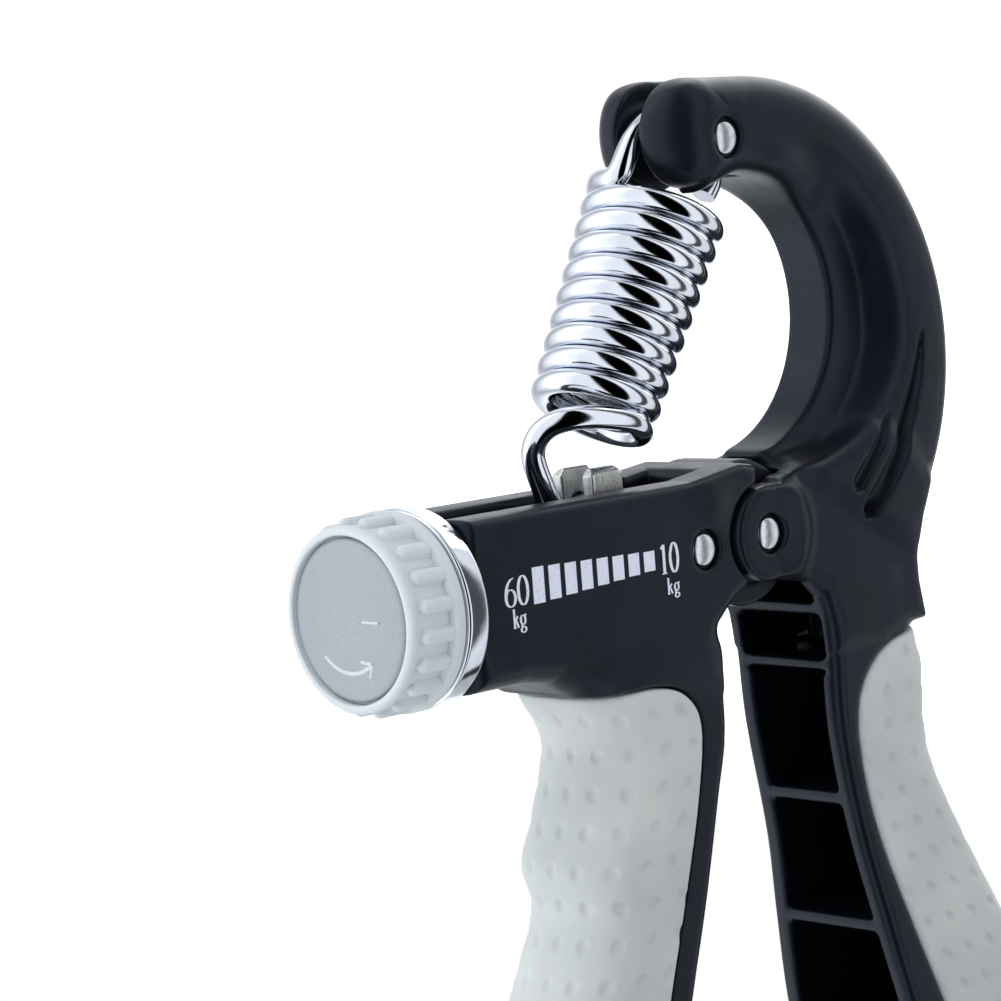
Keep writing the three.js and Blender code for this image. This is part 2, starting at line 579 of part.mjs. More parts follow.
const PIECES = [
  ['rear_handle', BLACK, rearBody],
  ['rear_grip', GREY_RUBBER, () => grip(REAR_EDGE, REAR_FRONT, REAR_BACK, REAR_HALF, 75, REAR_LEVELS)],
  ['front_handle', BLACK, frontBody],
  ['front_grip', GREY_RUBBER, () => grip(FRONT_EDGE, FRONT_BACK, FRONT_FACE, FRONT_HALF, -75, FRONT_LEVELS)],
  ['main_pivot_pin', CHROME, () => rivet(0, 0, PIVOT.pin, PIVOT.earHalf)],
  ['spring_top_pin', CHROME, () => rivet(SPRING_PIN.x, SPRING_PIN.z, SPRING_PIN.r, HOOK.topHalf)],
  ['bearing_pin', CHROME, () => rivet(BEARING_PIN.x, BEARING_PIN.z, BEARING_PIN.r, ARM.half)],
  ['collar_ring', CHROME, collarRing],
  ['screw_front_bearing', DARK_NYLON, frontBearing],
  ['screw_end_bearing', DARK_NYLON, endBearing],
  ['adjusting_screw', STEEL, adjustingScrew],
  ['thrust_washer', BRASS, thrustWasher],
  ['retaining_clip', STEEL, retainingClip],
  ['knob_hub', DARK_NYLON, knobHub],
  ['knob_fixing_screw', STEEL, fixingScrew],
  ['knob_grip_ring', GREY_RUBBER, knobGripRing],
  ['knob_cap', PALE_PLASTIC, knobCap],
  ['slider_carriage', STEEL, sliderCarriage],
  ['slider_pin', STEEL, () => rod(SLIDER.pinR, -SLIDER.half, SLIDER.half, 'y', SLIDER.x, SLIDER.pinZ, 18)],
  ['spring_top_hook', CHROME, topHook],
  ['spring_upper_coil', CHROME, () => coilPiece(HOOK_TURN + SEAM, SPLIT_TURN - SEAM)],
  ['spring_lower_coil', CHROME, () => coilPiece(SPLIT_TURN + SEAM, COIL.turns - 0.06 - SEAM)],
  ['spring_bottom_hook', CHROME, bottomHook],
];

const group = new THREE.Group();
for (const [name, look, make] of PIECES) {
  const mesh = new THREE.Mesh(geometryOf(make()), new THREE.MeshStandardMaterial(look));
  mesh.name = name;
  group.add(mesh);
}
group.position.set(-(KNOB_FRONT_X + PALM_X) / 2, 0, -FLOOR_Z);

export default group;
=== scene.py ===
"""Hand grip strengthener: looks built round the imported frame. Shapes are in mm about the main pivot."""

import json
import math

import bmesh
import bpy
import numpy as np
from mathutils import Matrix, Vector


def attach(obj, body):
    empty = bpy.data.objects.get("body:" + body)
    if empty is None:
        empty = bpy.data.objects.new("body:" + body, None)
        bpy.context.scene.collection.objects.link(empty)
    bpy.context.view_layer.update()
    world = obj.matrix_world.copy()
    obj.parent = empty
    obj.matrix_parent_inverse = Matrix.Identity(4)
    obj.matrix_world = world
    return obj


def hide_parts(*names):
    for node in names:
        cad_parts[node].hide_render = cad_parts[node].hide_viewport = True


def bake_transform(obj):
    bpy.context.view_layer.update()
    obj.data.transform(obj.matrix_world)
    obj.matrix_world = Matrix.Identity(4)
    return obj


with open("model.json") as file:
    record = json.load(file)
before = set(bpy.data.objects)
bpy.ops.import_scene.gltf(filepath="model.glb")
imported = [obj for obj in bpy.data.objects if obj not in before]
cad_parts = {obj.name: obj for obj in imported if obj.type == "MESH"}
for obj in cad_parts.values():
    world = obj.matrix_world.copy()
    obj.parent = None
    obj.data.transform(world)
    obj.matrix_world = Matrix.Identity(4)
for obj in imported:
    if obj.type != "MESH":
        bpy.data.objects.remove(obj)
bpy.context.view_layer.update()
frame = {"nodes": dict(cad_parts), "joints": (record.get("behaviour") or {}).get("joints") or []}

MM = 0.001
JOINTS = {joint["name"]: joint for joint in frame["joints"]}
PIVOT = Vector(JOINTS["handle_squeeze"]["pos_m"])
FLOOR = -PIVOT.z / MM  # handle ends, in mm from the pivot

# ---- Driving dimensions, mm about the main pivot: x along the arm, y across, z up ----
VOXEL = 0.36  # grid step of the moulded bodies
FINE = 0.15  # grid step of small pieces

ARM_FRONT, ARM_TOP, ARM_BOTTOM, ARM_HALF = -55.8, 8.9, -13.9, 10.2
SLOT_HALF, SLOT_FLOOR, SLOT_FRONT, SLOT_REAR = 4.2, -7.2, -51.8, -8.0
SCREW_Z, SCREW_R, SCREW_LEAD, SCREW_BORE = -2.5, 2.4, 2.0, 4.5
EAR_R, EAR_HALF, SEAT_R = 6.7, 11.2, 7.1
TONGUE_R, TONGUE_HALF = 10.3, 6.0

BOW_IN = (3.8, 30.0, 19.7)  # centre x, z and radius of the inside of the hook
BOW_OUT = (6.2, 24.0, 39.2)
WEB_HALF, TOP_HALF, ROOT_HALF = 4.2, 9.2, 10.6
NOSE = (-4.4, 55.8, 7.5)
NOSE_BLEND = 2.2
NOSE_REACH, NOSE_WIDE, NOSE_TALL = 13, 10.8, 14  # half axes of the ball that rounds the nose
BALL_FROM = 40  # the ball rounds only what is above this height
IN_START, IN_SWEEP = -82, 182  # degrees round BOW_IN, root to nose
OUT_START, OUT_SWEEP = -47, 148  # the same round BOW_OUT
FORK_HALF = 2.2

PIN_PLACES = {  # x, z, half width of the body round it, CAD node, CAD body
    "pivot": (0.0, 0.0, EAR_HALF, "main_pivot_pin", "rear_frame"),
    "spring": (-1.15, 54.8, TOP_HALF, "spring_top_pin", "rear_frame"),
    "bearing": (-12.2, -0.66, ARM_HALF, "bearing_pin", "front_lever"),
}
PIN_HEAD, PIN_RECESS, PIN_DEPTH, PIN_DOME, PIN_SHAFT = 2.3, 2.8, 1.3, 0.9, 1.4
PIVOT_BORE = 1.75  # the front lever turns on the main pin in this

WIRE_R = 1.65
SLIDER_PIN = (-24, 6.7)  # x, z of the cross pin that the bottom loop goes round
SLIDER_HALF = 3.9
COIL_TOP, COIL_END, COIL_TURNS = (-6.5, 46.7), (-22.74, 18.2), 9.75
COIL_R_TOP, COIL_R_END = 8.5, 7.2
SPLIT_TURN = 5.375

KNOB_FRONT, KNOB_REAR, KNOB_R, RIBS = -68.9, -60.1, 13.0, 20
RIB_R = 1.12  # radius of a rib across the knob's rim
COLLAR_R, COLLAR_FRONT, COLLAR_REAR = 13.2, -59.7, -56.1

GRIP_PROUD, GRIP_DEPTH, GRIP_BOTTOM, GRIP_GAP = 0.55, 1.6, -99.3, 0.15
DIMPLE_PITCH, DIMPLE_DEPTH, DIMPLE_R = 5.0, 0.32, 0.9
RIB_Z = (-12.5, -20.8, -40.7, -60.1, -80.0)
RIB_HALF = 0.95

# Handle stations from the top down: height, then the flat inner edge, the rounded edge or half width.
REAR_FRONT = ((-10, 11.6), (-18, 13.1), (-31, 13.8), (-50, 17.4), (-74, 22.3), (-101.5, 29.5))
REAR_BACK = (
    (-8, 33.2), (-18, 34.8), (-23.5, 36.3), (-32, 36.2), (-39, 37.6), (-51.5, 43.9), (-67, 52),
    (-80, 57.2), (-89, 58.6), (-96, 57.2), (-101.5, 52.5),
)
REAR_HALF = (
    (-8, 10.6), (-25, 9.8), (-45, 9.8), (-60, 11.4), (-75, 13.1), (-88, 13.4), (-101.5, 12.6),
)
FRONT_BACK = (
    (-10, -9.2), (-15, -10.2), (-26, -10.3), (-35, -12.6), (-48.4, -16.3), (-61.5, -20.5),
    (-82, -26.8), (-101.5, -31.5),
)
FRONT_FACE = (
    (-13, -36.5), (-18.5, -34.6), (-25.8, -31), (-36, -34), (-41.7, -36.4), (-48.3, -35.1),
    (-58, -39.6), (-64, -42.3), (-70.6, -41), (-80, -45), (-85.5, -47.2), (-91.8, -46),
    (-98, -48.4), (-101.5, -47.6),
)
FRONT_HALF = ((-8, ARM_HALF), (-101.5, ARM_HALF))

# Edges between soft grip and black body, in side view.
REAR_EDGE = (
    (38, -17), (30.6, -17.9), (24.5, -19.4), (19.6, -23.5), (17.6, -29.5), (18.7, -39.6),
    (21.8, -51.2), (25.6, -63.1), (31.6, -81), (36.5, -99.3),
)
FRONT_EDGE = (
    (-52, -17.4), (-34, -17.8), (-24, -17.8), (-18.4, -19.7), (-15.9, -24.4), (-17.5, -34.3),
    (-21.4, -47.3), (-25.7, -60.3), (-31.9, -80), (-36.7, -99.3),
)


def place(x, y, z):
    """A point in mm about the pivot, as a point of the frame in metres."""
    return PIVOT + Vector((x, y, z)) * MM


# ---- Camera ----
def make_camera():
    data = bpy.data.cameras.new("camera")
    data.lens, data.sensor_width = 116.42, 36
    data.clip_start, data.clip_end = 0.01, 60
    camera = bpy.data.objects.new("camera", data)
    bpy.context.scene.collection.objects.link(camera)
    camera.location = place(-331.7, -309.5, 51.7)
    azimuth, elevation, roll = math.radians(43.26), math.radians(5.685), math.radians(4.356)
    look = Vector((
        math.sin(azimuth) * math.cos(elevation), math.cos(azimuth) * math.cos(elevation),
        -math.sin(elevation),
    ))
    turn = look.to_track_quat("-Z", "Y").to_matrix() @ Matrix.Rotation(-roll, 3, "Z")
    camera.rotation_euler = turn.to_euler()
    bpy.context.scene.camera = camera


# ---- Meshes ----
def mesh_piece(name, points, faces, material, normals=None, smooth=True):
    """One object from points in mm about the pivot and faces of three or four corners."""
    points = np.asarray(points, np.float64) * MM + np.array(PIVOT)
    faces = np.asarray(faces, np.int64)
    corners = faces.shape[1]
    mesh = bpy.data.meshes.new(name)
    mesh.vertices.add(len(points))
    mesh.vertices.foreach_set("co", points.astype(np.float32).ravel())
    mesh.loops.add(faces.size)
    mesh.loops.foreach_set("vertex_index", faces.astype(np.int32).ravel())
    mesh.polygons.add(len(faces))
    mesh.polygons.foreach_set("loop_start", np.arange(0, faces.size, corners, dtype=np.int32))
    mesh.update(calc_edges=True)
    mesh.polygons.foreach_set("use_smooth", np.full(len(faces), smooth))
    if normals is not None:
        mesh.normals_split_custom_set_from_vertices(normals.tolist())
    mesh.materials.append(material)
    made = bpy.data.objects.new(name, mesh)
    bpy.context.scene.collection.objects.link(made)
    return made


def finish_piece(made, body, slot, *nodes):
    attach(made, body)
    if nodes:
        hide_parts(*nodes)
    return made


# ---- Signed distances on a grid ----
class Grid:
    """Points of a box. Its x, y and z broadcast against each other."""

    def __init__(self, low, high, step):
        self.low, self.step = np.array(low, float), step
        x, y, z = (np.arange(a, b + step, step, dtype=np.float32) for a, b in zip(low, high))
        self.x, self.y, self.z = x[:, None, None], y[None, :, None], z[None, None, :]
        self.side = np.abs(self.y)


def join(a, b, soft=0.0):
    low = np.minimum(a, b)
    if np.all(np.equal(soft, 0)):
        return low
    soft = np.maximum(soft, 1e-4)
    share = np.maximum(soft - np.abs(a - b), 0) / soft
    return low - share * share * soft / 4


def common(a, b, soft=0.0):
    return -join(-a, -b, soft)


def minus(a, b, soft=0.0):
    return common(a, -b, soft)


def disc(grid, x, z, r):
    return np.hypot(grid.x - x, grid.z - z) - r


def spline(points, steps=10):
    """Points along a smooth curve through the given ones."""
    p = np.array(points, float)
    p = np.vstack([2 * p[0] - p[1], p, 2 * p[-1] - p[-2]])
    t = np.linspace(0, 1, steps, endpoint=False)[:, None]
    runs = []
    for a, b, c, d in zip(p, p[1:], p[2:], p[3:]):
        runs.append(0.5 * (
            2 * b + (c - a) * t + (2 * a - 5 * b + 4 * c - d) * t**2
            + (3 * b - a - 3 * c + d) * t**3
        ))
    return np.vstack([*runs, p[-2]])


def along(stations, z):
    """Smooth value at height z between stations."""
    curve = spline(stations, 12)
    order = np.argsort(curve[:, 0])
    return np.interp(z, curve[order, 0], curve[order, 1]).astype(np.float32)


def nearest_on(grid, points, radii=None):
    """Distance from a side-view line, and the line's own radius at the nearest point."""
    x, z = grid.x[:, 0], grid.z[0]
    radii = [0.0] * len(points) if radii is None else radii
    best = np.full((x.shape[0], z.shape[1]), 1e9, np.float32)
    radius = np.zeros_like(best)
    for (ax, az), (bx, bz), ra, rb in zip(points, points[1:], radii, radii[1:]):
        ex, ez = bx - ax, bz - az
        t = np.clip(((x - ax) * ex + (z - az) * ez) / (ex * ex + ez * ez), 0, 1)
        d = np.hypot(x - ax - t * ex, z - az - t * ez)
        r = ra + (rb - ra) * t
        closer = d - r < best - radius
        best, radius = np.where(closer, d, best), np.where(closer, r, radius)
    return best[:, None, :], radius[:, None, :]


def outline(grid, points):
    """Signed distance from a closed side-view outline."""
    points = [tuple(p) for p in points]
    closed = [*points, points[0]]
    x, z = grid.x[:, 0], grid.z[0]
    inside = np.zeros((x.shape[0], z.shape[1]), bool)
    for (ax, az), (bx, bz) in zip(closed, closed[1:]):
        if az != bz:
            inside ^= ((az > z) != (bz > z)) & (x < (bx - ax) * (z - az) / (bz - az) + ax)
    distance, _ = nearest_on(grid, closed)
    return distance * np.where(inside, -1, 1)[:, None, :]


def wall(grid, half):
    """Distance from a side face whose half width changes over the side view."""
    if np.ndim(half) == 0:
        return grid.side - half
    dx, _, dz = np.gradient(np.broadcast_to(half, (*half.shape[:1], 2, half.shape[2])), grid.step)
    steep = np.sqrt(1 + dx[:, :1] ** 2 + dz[:, :1] ** 2)
    return (grid.side - half) / steep


def handle_field(grid, flat, rounded, half, inset=0.0, flat_inset=0.0, round_inset=None, soft=1.2):
    """A handle: flat towards the other handle, rounded towards the hand."""
    round_inset = inset if round_inset is None else round_inset
    flat_x, round_x, w = along(flat, grid.z), along(rounded, grid.z), along(half, grid.z) - inset
    side = np.sign(np.mean(round_x - flat_x))
    depth = 0.85 * w
    out = side * (grid.x - round_x) + round_inset + depth
    curved = (np.maximum(out, 0) / depth) ** 2.5 + (grid.side / w) ** 2.5
    skin_field = (curved**0.4 - 1) * w * 0.92
    slope = np.gradient(flat_x[0, 0], grid.step)
    front = (side * (flat_x - grid.x) + flat_inset) / np.sqrt(1 + slope**2)
    return common(skin_field, front, soft)


def grip_region(edge, side, offset):
    """Side-view outline of the part of a handle that its grip covers, open past the hand."""
    far = side * 78
    top, bottom = edge[0][1] + offset, edge[-1][1] - offset
    curve = spline([(x - side * offset, z + offset / 2) for x, z in edge[1:]], 6)
    return [(far, top), (edge[0][0], top), *curve, (edge[-1][0], bottom), (far, bottom)]


def sampled(field, p):
    """Field values at points given in grid steps."""
    i = np.clip(np.floor(p).astype(np.int64), 0, np.array(field.shape) - 2)
    f = (p - i).astype(np.float32)
    flat = field.ravel()
    stride = (field.shape[1] * field.shape[2], field.shape[2], 1)
    base = i @ np.array(stride)
    total = np.zeros(len(p), np.float32)
    for a in (0, 1):
        for b in (0, 1):
            for c in (0, 1):
                weight = (
                    (f[:, 0] if a else 1 - f[:, 0]) * (f[:, 1] if b else 1 - f[:, 1])
                    * (f[:, 2] if c else 1 - f[:, 2])
                )
                total += weight * flat[base + a * stride[0] + b * stride[1] + c]
    return total


def slope_of(field, p, reach):
    steps = np.eye(3) * reach
    return np.stack([sampled(field, p + s) - sampled(field, p - s) for s in steps], 1) / (2 * reach)


def skin_of(field):
    """Points, in grid steps, and quads of the surface where the field is zero."""
    field = np.ascontiguousarray(field, np.float32)
    inside = field < 0
    flat = field.ravel()
    stride = np.array([field.shape[1] * field.shape[2], field.shape[2], 1])
    cells, crossings = [], []
    for axis in range(3):
        here, there = [slice(None)] * 3, [slice(None)] * 3
        here[axis], there[axis] = slice(0, -1), slice(1, None)
        corner = np.argwhere(inside[tuple(here)] != inside[tuple(there)])
        at = corner @ stride
        start, end = flat[at], flat[at + stride[axis]]
        point = corner.astype(np.float64)
        point[:, axis] += start / (start - end)
        u, v = stride[(axis + 1) % 3], stride[(axis + 2) % 3]
        ring = np.stack([at, at - u, at - u - v, at - v], 1)
        ring[start > 0] = ring[start > 0][:, ::-1]
        cells.append(ring)
        crossings.append(np.repeat(point, 4, axis=0))
    ids, quads = np.unique(np.concatenate(cells).ravel(), return_inverse=True)
    crossing = np.concatenate(crossings)
    count = np.bincount(quads, minlength=len(ids))
    p = np.stack([np.bincount(quads, crossing[:, k], len(ids)) / count for k in range(3)], 1)
    for _ in range(3):
        slope = slope_of(field, p, 0.5)
        shift = sampled(field, p)[:, None] * slope / np.maximum((slope**2).sum(1), 1e-3)[:, None]
        p -= np.clip(shift, -0.4, 0.4)
    slope = slope_of(field, p, 0.6)
    normals = slope / np.maximum(np.linalg.norm(slope, axis=1), 1e-9)[:, None]
    return p, quads.reshape(-1, 4), normals


def field_piece(name, grid, field, material):
    shape = np.broadcast_shapes(field.shape, (grid.x.shape[0], grid.y.shape[1], grid.z.shape[2]))
    p, quads, normals = skin_of(np.broadcast_to(field, shape))
    return mesh_piece(name, p * grid.step + grid.low, quads, material, normals)


# ---- Black bodies ----
def circle_point(circle, degrees):
    x, z, r = circle
    return x + r * math.cos(math.radians(degrees)), z + r * math.sin(math.radians(degrees))


def half_plane(grid, start, end):
    """Negative to the left of the line from start to end, in side view."""
    dx, dz = end[0] - start[0], end[1] - start[1]
    return ((grid.x - start[0]) * dz - (grid.z - start[1]) * dx) / math.hypot(dx, dz)


def block(grid, x0, x1, half, z0, z1, soft=0.0):
    ends = np.maximum(x0 - grid.x, grid.x - x1)
    heights = np.maximum(z0 - grid.z, grid.z - z1)
    return common(common(ends, heights, soft), grid.side - half, soft)


def ease(value):
    value = np.clip(value, 0, 1)
    return value * value * (3 - 2 * value)


def bow_field(grid):
    """The C of the hook: a thin web inside, a hollow flare in two steps, a full rounded side.

    Towards the tip the flare fills out and the section swells into the bulbous nose. The level
    part fills the dip between the nose's top and the bow's.
    """
    inner, outer, nose = disc(grid, *BOW_IN), disc(grid, *BOW_OUT), disc(grid, *NOSE)
    width = np.maximum(inner - outer, 1)
    u = np.clip(inner / width, 0, 1)
    about_in = np.degrees(np.arctan2(grid.z - BOW_IN[1], grid.x - BOW_IN[0]))
    about_out = np.degrees(np.arctan2(grid.z - BOW_OUT[1], grid.x - BOW_OUT[0]))
    t = np.clip((1 - u) * (about_in - IN_START) / IN_SWEEP + u * (about_out - OUT_START) / OUT_SWEEP, 0, 1)
    full = ROOT_HALF + (TOP_HALF - ROOT_HALF) * np.minimum(1.6 * t, 1)
    near_tip = ease((t - 0.6) / 0.38)
    web = WEB_HALF + (full - WEB_HALF) * near_tip
    s = u / (0.14 + 0.28 * np.minimum(2.8 * t, 1))
    low_scoop = 0.32 * np.clip(s / 0.5, 0, 1) ** 1.7
    high_scoop = 0.68 * np.maximum((s - 0.5) / 0.5, 0) ** 1.35
    flare = web + (full - web) * (low_scoop + high_scoop) + 3 * near_tip**2
    side = full - 0.5 * ((u - 0.62) / 0.38) ** 2 * (1 - near_tip)
    flank = common(wall(grid, np.minimum(flare, full + 6)), wall(grid, side), 1.5)
    band = np.maximum(np.maximum(outer, -inner), 4 * (NOSE[0] - grid.x))
    side_view = join(band, np.where(grid.x < 12, nose, 50), NOSE_BLEND)
    tops = NOSE[1] + NOSE[2], BOW_OUT[1] + BOW_OUT[2]
    fall = (tops[0] - tops[1]) / (BOW_OUT[0] - NOSE[0])
    level = np.maximum(grid.z - tops[0] + fall * (grid.x - NOSE[0]), NOSE[1] - grid.z)
    level = np.maximum(level, np.maximum(NOSE[0] - grid.x, grid.x - BOW_OUT[0]))
    side_view = np.minimum(side_view, level)
    rounding = 1.1 + 4.2 * np.maximum(ease((u - 0.3) / 0.4), near_tip)
    body = common(flank, side_view, rounding)
    root = half_plane(grid, circle_point(BOW_IN, IN_START), circle_point(BOW_OUT, OUT_START)) - 0.5
    body = common(body, root, 2)
    blunt = np.minimum(grid.x, 0) / NOSE_REACH
    rise = ease((14 - grid.x) / 18) * (grid.z - NOSE[1]) / NOSE_TALL
    ball = (np.sqrt(blunt**2 + (grid.y / NOSE_WIDE) ** 2 + rise**2) - 1) * NOSE_WIDE
    return common(body, np.where(grid.z > BALL_FROM, ball, -50), 1)


def rivet_cut(grid, field, name):
    x, z, half, *_ = PIN_PLACES[name]
    recess = common(disc(grid, x, z, PIN_RECESS), half - PIN_DEPTH - grid.side)
    return minus(field, recess, 0.5)


def grooved(grid, field, points, radii):
    """A groove pressed into both sides, pointed at its top and round at its foot."""
    line = spline(points, 6)
    shares = np.linspace(0, len(radii) - 1, len(line))
    distance, radius = nearest_on(grid, line, np.interp(shares, range(len(radii)), radii))
    hollow = np.clip(1 - (distance / radius) ** 2, 0, 1)
    return field + 1.15 * radius * hollow**0.8


def rear_field(grid):
    root = outline(grid, [
        (0, 6.6), (3.4, 7.2), (8.6, 7.6), (18, 10), (24.5, 11.5), (30.5, 10), (35, 3), (33.4, -1.5),
        (33, -6), (33.2, -11), (34.4, -17), (30, -17.2), (24, -19), (13.2, -19), (12.8, -14),
        (11, -10.5), (8.5, -8.1), (3.3, -6.7), (0, -6.7),
    ])
    cheeks = common(root, grid.side - ROOT_HALF, 2.6)
    upper = join(cheeks, bow_field(grid), 3.5)
    cover = outline(grid, grip_region(REAR_EDGE, 1, 0.3))
    upper = minus(upper, cover, 0.5)
    arm_side = outline(grid, [
        (-14, -7), (-3, -6.9), (5, 9.2), (-1.6, 8.6), (-1.6, 12), (-14, 12)])
    upper = minus(upper, np.maximum(arm_side, 0.1 - disc(grid, 0, 0, EAR_R)), 0.4)
    blend_width = 4 * np.clip((grid.x - 0.5) / 5, 0, 1)
    ears = common(disc(grid, 0, 0, EAR_R), grid.side - EAR_HALF, 1.2)
    body = join(upper, ears, blend_width)

    shape = REAR_FRONT, REAR_BACK, REAR_HALF
    strip = handle_field(grid, *shape, soft=1.8)
    spine = join(minus(strip, cover, 0.5), handle_field(grid, *shape, inset=1.9))
    spine = common(common(spine, grid.z + 8), FLOOR - grid.z)
    pocket = handle_field(grid, *shape, inset=3.2, flat_inset=-3, round_inset=4.4, soft=2.2)
    ribs = np.min([np.abs(grid.z - z) for z in RIB_Z], axis=0) - RIB_HALF
    pocket = common(minus(pocket, ribs, 0.9), FLOOR + 2.5 - grid.z, 1)
    body = join(body, minus(spine, pocket, 0.9), 0.6)

    body = minus(body, common(disc(grid, 0, 0, TONGUE_R + 0.5), grid.side - TONGUE_HALF - 0.4), 0.3)
    hollow = outline(grid, [(-9, -5), (9, -5), (17, -8), (28, -13.4), (28, -22), (0, -22)])
    body = minus(body, common(minus(hollow, ribs, 0.5), grid.side - 7.7, 1.2), 0.8)
    fork = outline(grid, [(-30, 30), (3, 30), (7.6, 46), (7.6, 70), (-30, 70)])
    body = minus(body, np.maximum(fork, grid.side - FORK_HALF), 0.8)
    for points, radii in (
        (((37, 25), (35, 18.5), (31.2, 11.5), (26.5, 5.4), (21.8, 1)), (0.3, 1.1, 1.6, 1.8, 1.8)),
        (((28.5, 14), (24.2, 9.6), (19.2, 4.6)), (0.3, 1.0, 1.3)),
    ):
        body = grooved(grid, body, points, radii)
    return rivet_cut(grid, rivet_cut(grid, body, "pivot"), "spring")


def arm_field(grid):
    side_view = outline(grid, [
        (ARM_FRONT, ARM_BOTTOM), (-46, ARM_BOTTOM), (-41, -14.6), (-37, -16.8), (-33, -20),
        (-10.4, -20), (-10.1, -14.8), (-9.4, -11.4), (-7, -8.5), (-3.7, -6.8), (-0.6, 0), (-0.6, 9.7),
        (-3.5, 10.2), (-8, 9.7), (-14, ARM_TOP), (ARM_FRONT, ARM_TOP),
    ])
    rounding = 1.8 + 2.6 * np.clip((-8 - grid.z) / 5, 0, 1)
    swell = 0.5 * np.exp(-(((grid.x + 10.5) / 3.6) ** 2) - ((grid.z - 5.5) / 3.2) ** 2)
    arm = common(side_view, grid.side - ARM_HALF - swell, rounding)
    cover = outline(grid, grip_region(FRONT_EDGE, -1, 0.3))
    shape = FRONT_BACK, FRONT_FACE, FRONT_HALF
    strip = common(handle_field(grid, *shape, soft=1.8), grid.z + 13, 3)
    core = common(handle_field(grid, *shape, inset=1.9), grid.z + 12)
    body = join(minus(join(arm, strip, 2.0), cover, 0.5), core)
    body = common(body, FLOOR - grid.z)
    tongue = common(disc(grid, 0, 0, TONGUE_R), grid.side - TONGUE_HALF, 0.8)
    body = join(body, tongue)
    seat = common(disc(grid, 0, 0, SEAT_R), TONGUE_HALF - grid.side)
    body = minus(body, seat, 0.7)
    channel = block(grid, SLOT_FRONT, SLOT_REAR, SLOT_HALF, SLOT_FLOOR, 20)
    mouth = block(grid, ARM_FRONT - 5, SLOT_FRONT + 1, SLOT_HALF, 2.6, 20)
    body = minus(body, join(channel, mouth), 1.3)
    bore = np.maximum(
        np.hypot(grid.y, grid.z - SCREW_Z) - SCREW_BORE,
        np.maximum(ARM_FRONT - 3 - grid.x, grid.x - SLOT_FRONT - 1),
    )
    body = minus(body, disc(grid, 0, 0, PIVOT_BORE))
    return rivet_cut(grid, minus(body, bore, 0.3), "bearing")


# ---- Soft grips ----
def dimples(grid, flat, rounded, half, first):
    """Shallow soft dimples on a square lattice: round the section and down the handle."""
    flat_x, round_x, w = (along(s, grid.z) for s in (flat, rounded, half))
    side = np.sign(np.mean(round_x - flat_x))
    out = side * (grid.x - round_x) + 0.85 * w
    round_way = np.where(out > 0, w * np.arctan2(grid.y, np.maximum(out, 0.01)), 0)
    flank = np.sign(grid.y) * (w * math.pi / 2 + np.minimum(-out, 60))
    round_way = np.where(out > 0, round_way, flank)
    pitch = DIMPLE_PITCH
    a = round_way / pitch - np.round(round_way / pitch)
    b = (grid.z - first) / pitch - np.round((grid.z - first) / pitch)
    reach = np.hypot(a, b) * pitch
    return DIMPLE_DEPTH * np.exp(-((reach / DIMPLE_R) ** 4))


def grip_field(grid, edge, flat, rounded, half, side):
    outer = handle_field(
        grid, flat, rounded, half, inset=-GRIP_PROUD, flat_inset=0, round_inset=0.06, soft=0.8)
    outer = outer + dimples(grid, flat, rounded, half, edge[0][1] - 4)
    inner = handle_field(grid, flat, rounded, half, inset=GRIP_DEPTH, flat_inset=-6)
    region = outline(grid, grip_region(edge, side, -GRIP_GAP * 0.3))
    return minus(common(outer, region, 0.9), inner)


# ---- Turned pieces ----
def revolved(profile, axis, centre, sides, radius_of=None):
    """Points and quads of a closed turned skin; profile holds (radius, place along the axis)."""
    profile = np.array(profile, float)
    angle = np.linspace(0, 2 * math.pi, sides, endpoint=False)
    r = np.repeat(profile[:, :1], sides, axis=1)
    a = np.repeat(profile[:, 1:], sides, axis=1)
    if radius_of is not None:
        r, a = radius_of(r, a, angle[None, :])
    u, v = r * np.cos(angle), r * np.sin(angle)
    if axis == "x":
        p = np.stack([a, u, v + centre[1]], -1)
    else:
        p = np.stack([v + centre[0], a, u + centre[1]], -1)
    rows = np.arange(len(profile) - 1)[:, None] * sides
    k = np.arange(sides)[None, :]
    k1 = (k + 1) % sides
    quads = np.stack([rows + k, rows + k1, rows + sides + k1, rows + sides + k], -1)
    return p.reshape(-1, 3), quads.reshape(-1, 4)


def rounded_profile(corners, r=0.3, steps=4):
    """A profile with its inner corners rounded; the first and last points stay."""
    corners = [np.array(c, float) for c in corners]
    path = [corners[0]]
    for before, corner, after in zip(corners, corners[1:], corners[2:]):
        a, b = before - corner, after - corner
        cut_a = min(r, 0.45 * np.linalg.norm(a))
        cut_b = min(r, 0.45 * np.linalg.norm(b))
        start = corner + a / np.linalg.norm(a) * cut_a
        end = corner + b / np.linalg.norm(b) * cut_b
        for t in np.linspace(0, 1, steps + 1):
            path.append((1 - t) ** 2 * start + 2 * t * (1 - t) * corner + t**2 * end)
    return np.array([*path, corners[-1]])


def turned_piece(name, profile, axis, centre, sides, material, radius_of=None):
    points, quads = revolved(profile, axis, centre, sides, radius_of)
    made = mesh_piece(name, points, quads, material)
    mesh = made.data
    tool = bmesh_of(mesh)
    bmesh.ops.remove_doubles(tool, verts=tool.verts, dist=1e-7)
    bmesh.ops.dissolve_degenerate(tool, edges=tool.edges, dist=1e-8)
    bmesh.ops.recalc_face_normals(tool, faces=tool.faces)
    tool.to_mesh(mesh)
    tool.free()
    mesh.set_sharp_from_angle(angle=math.radians(50))
    return made


def bmesh_of(mesh):
    tool = bmesh.new()
    tool.from_mesh(mesh)
    return tool


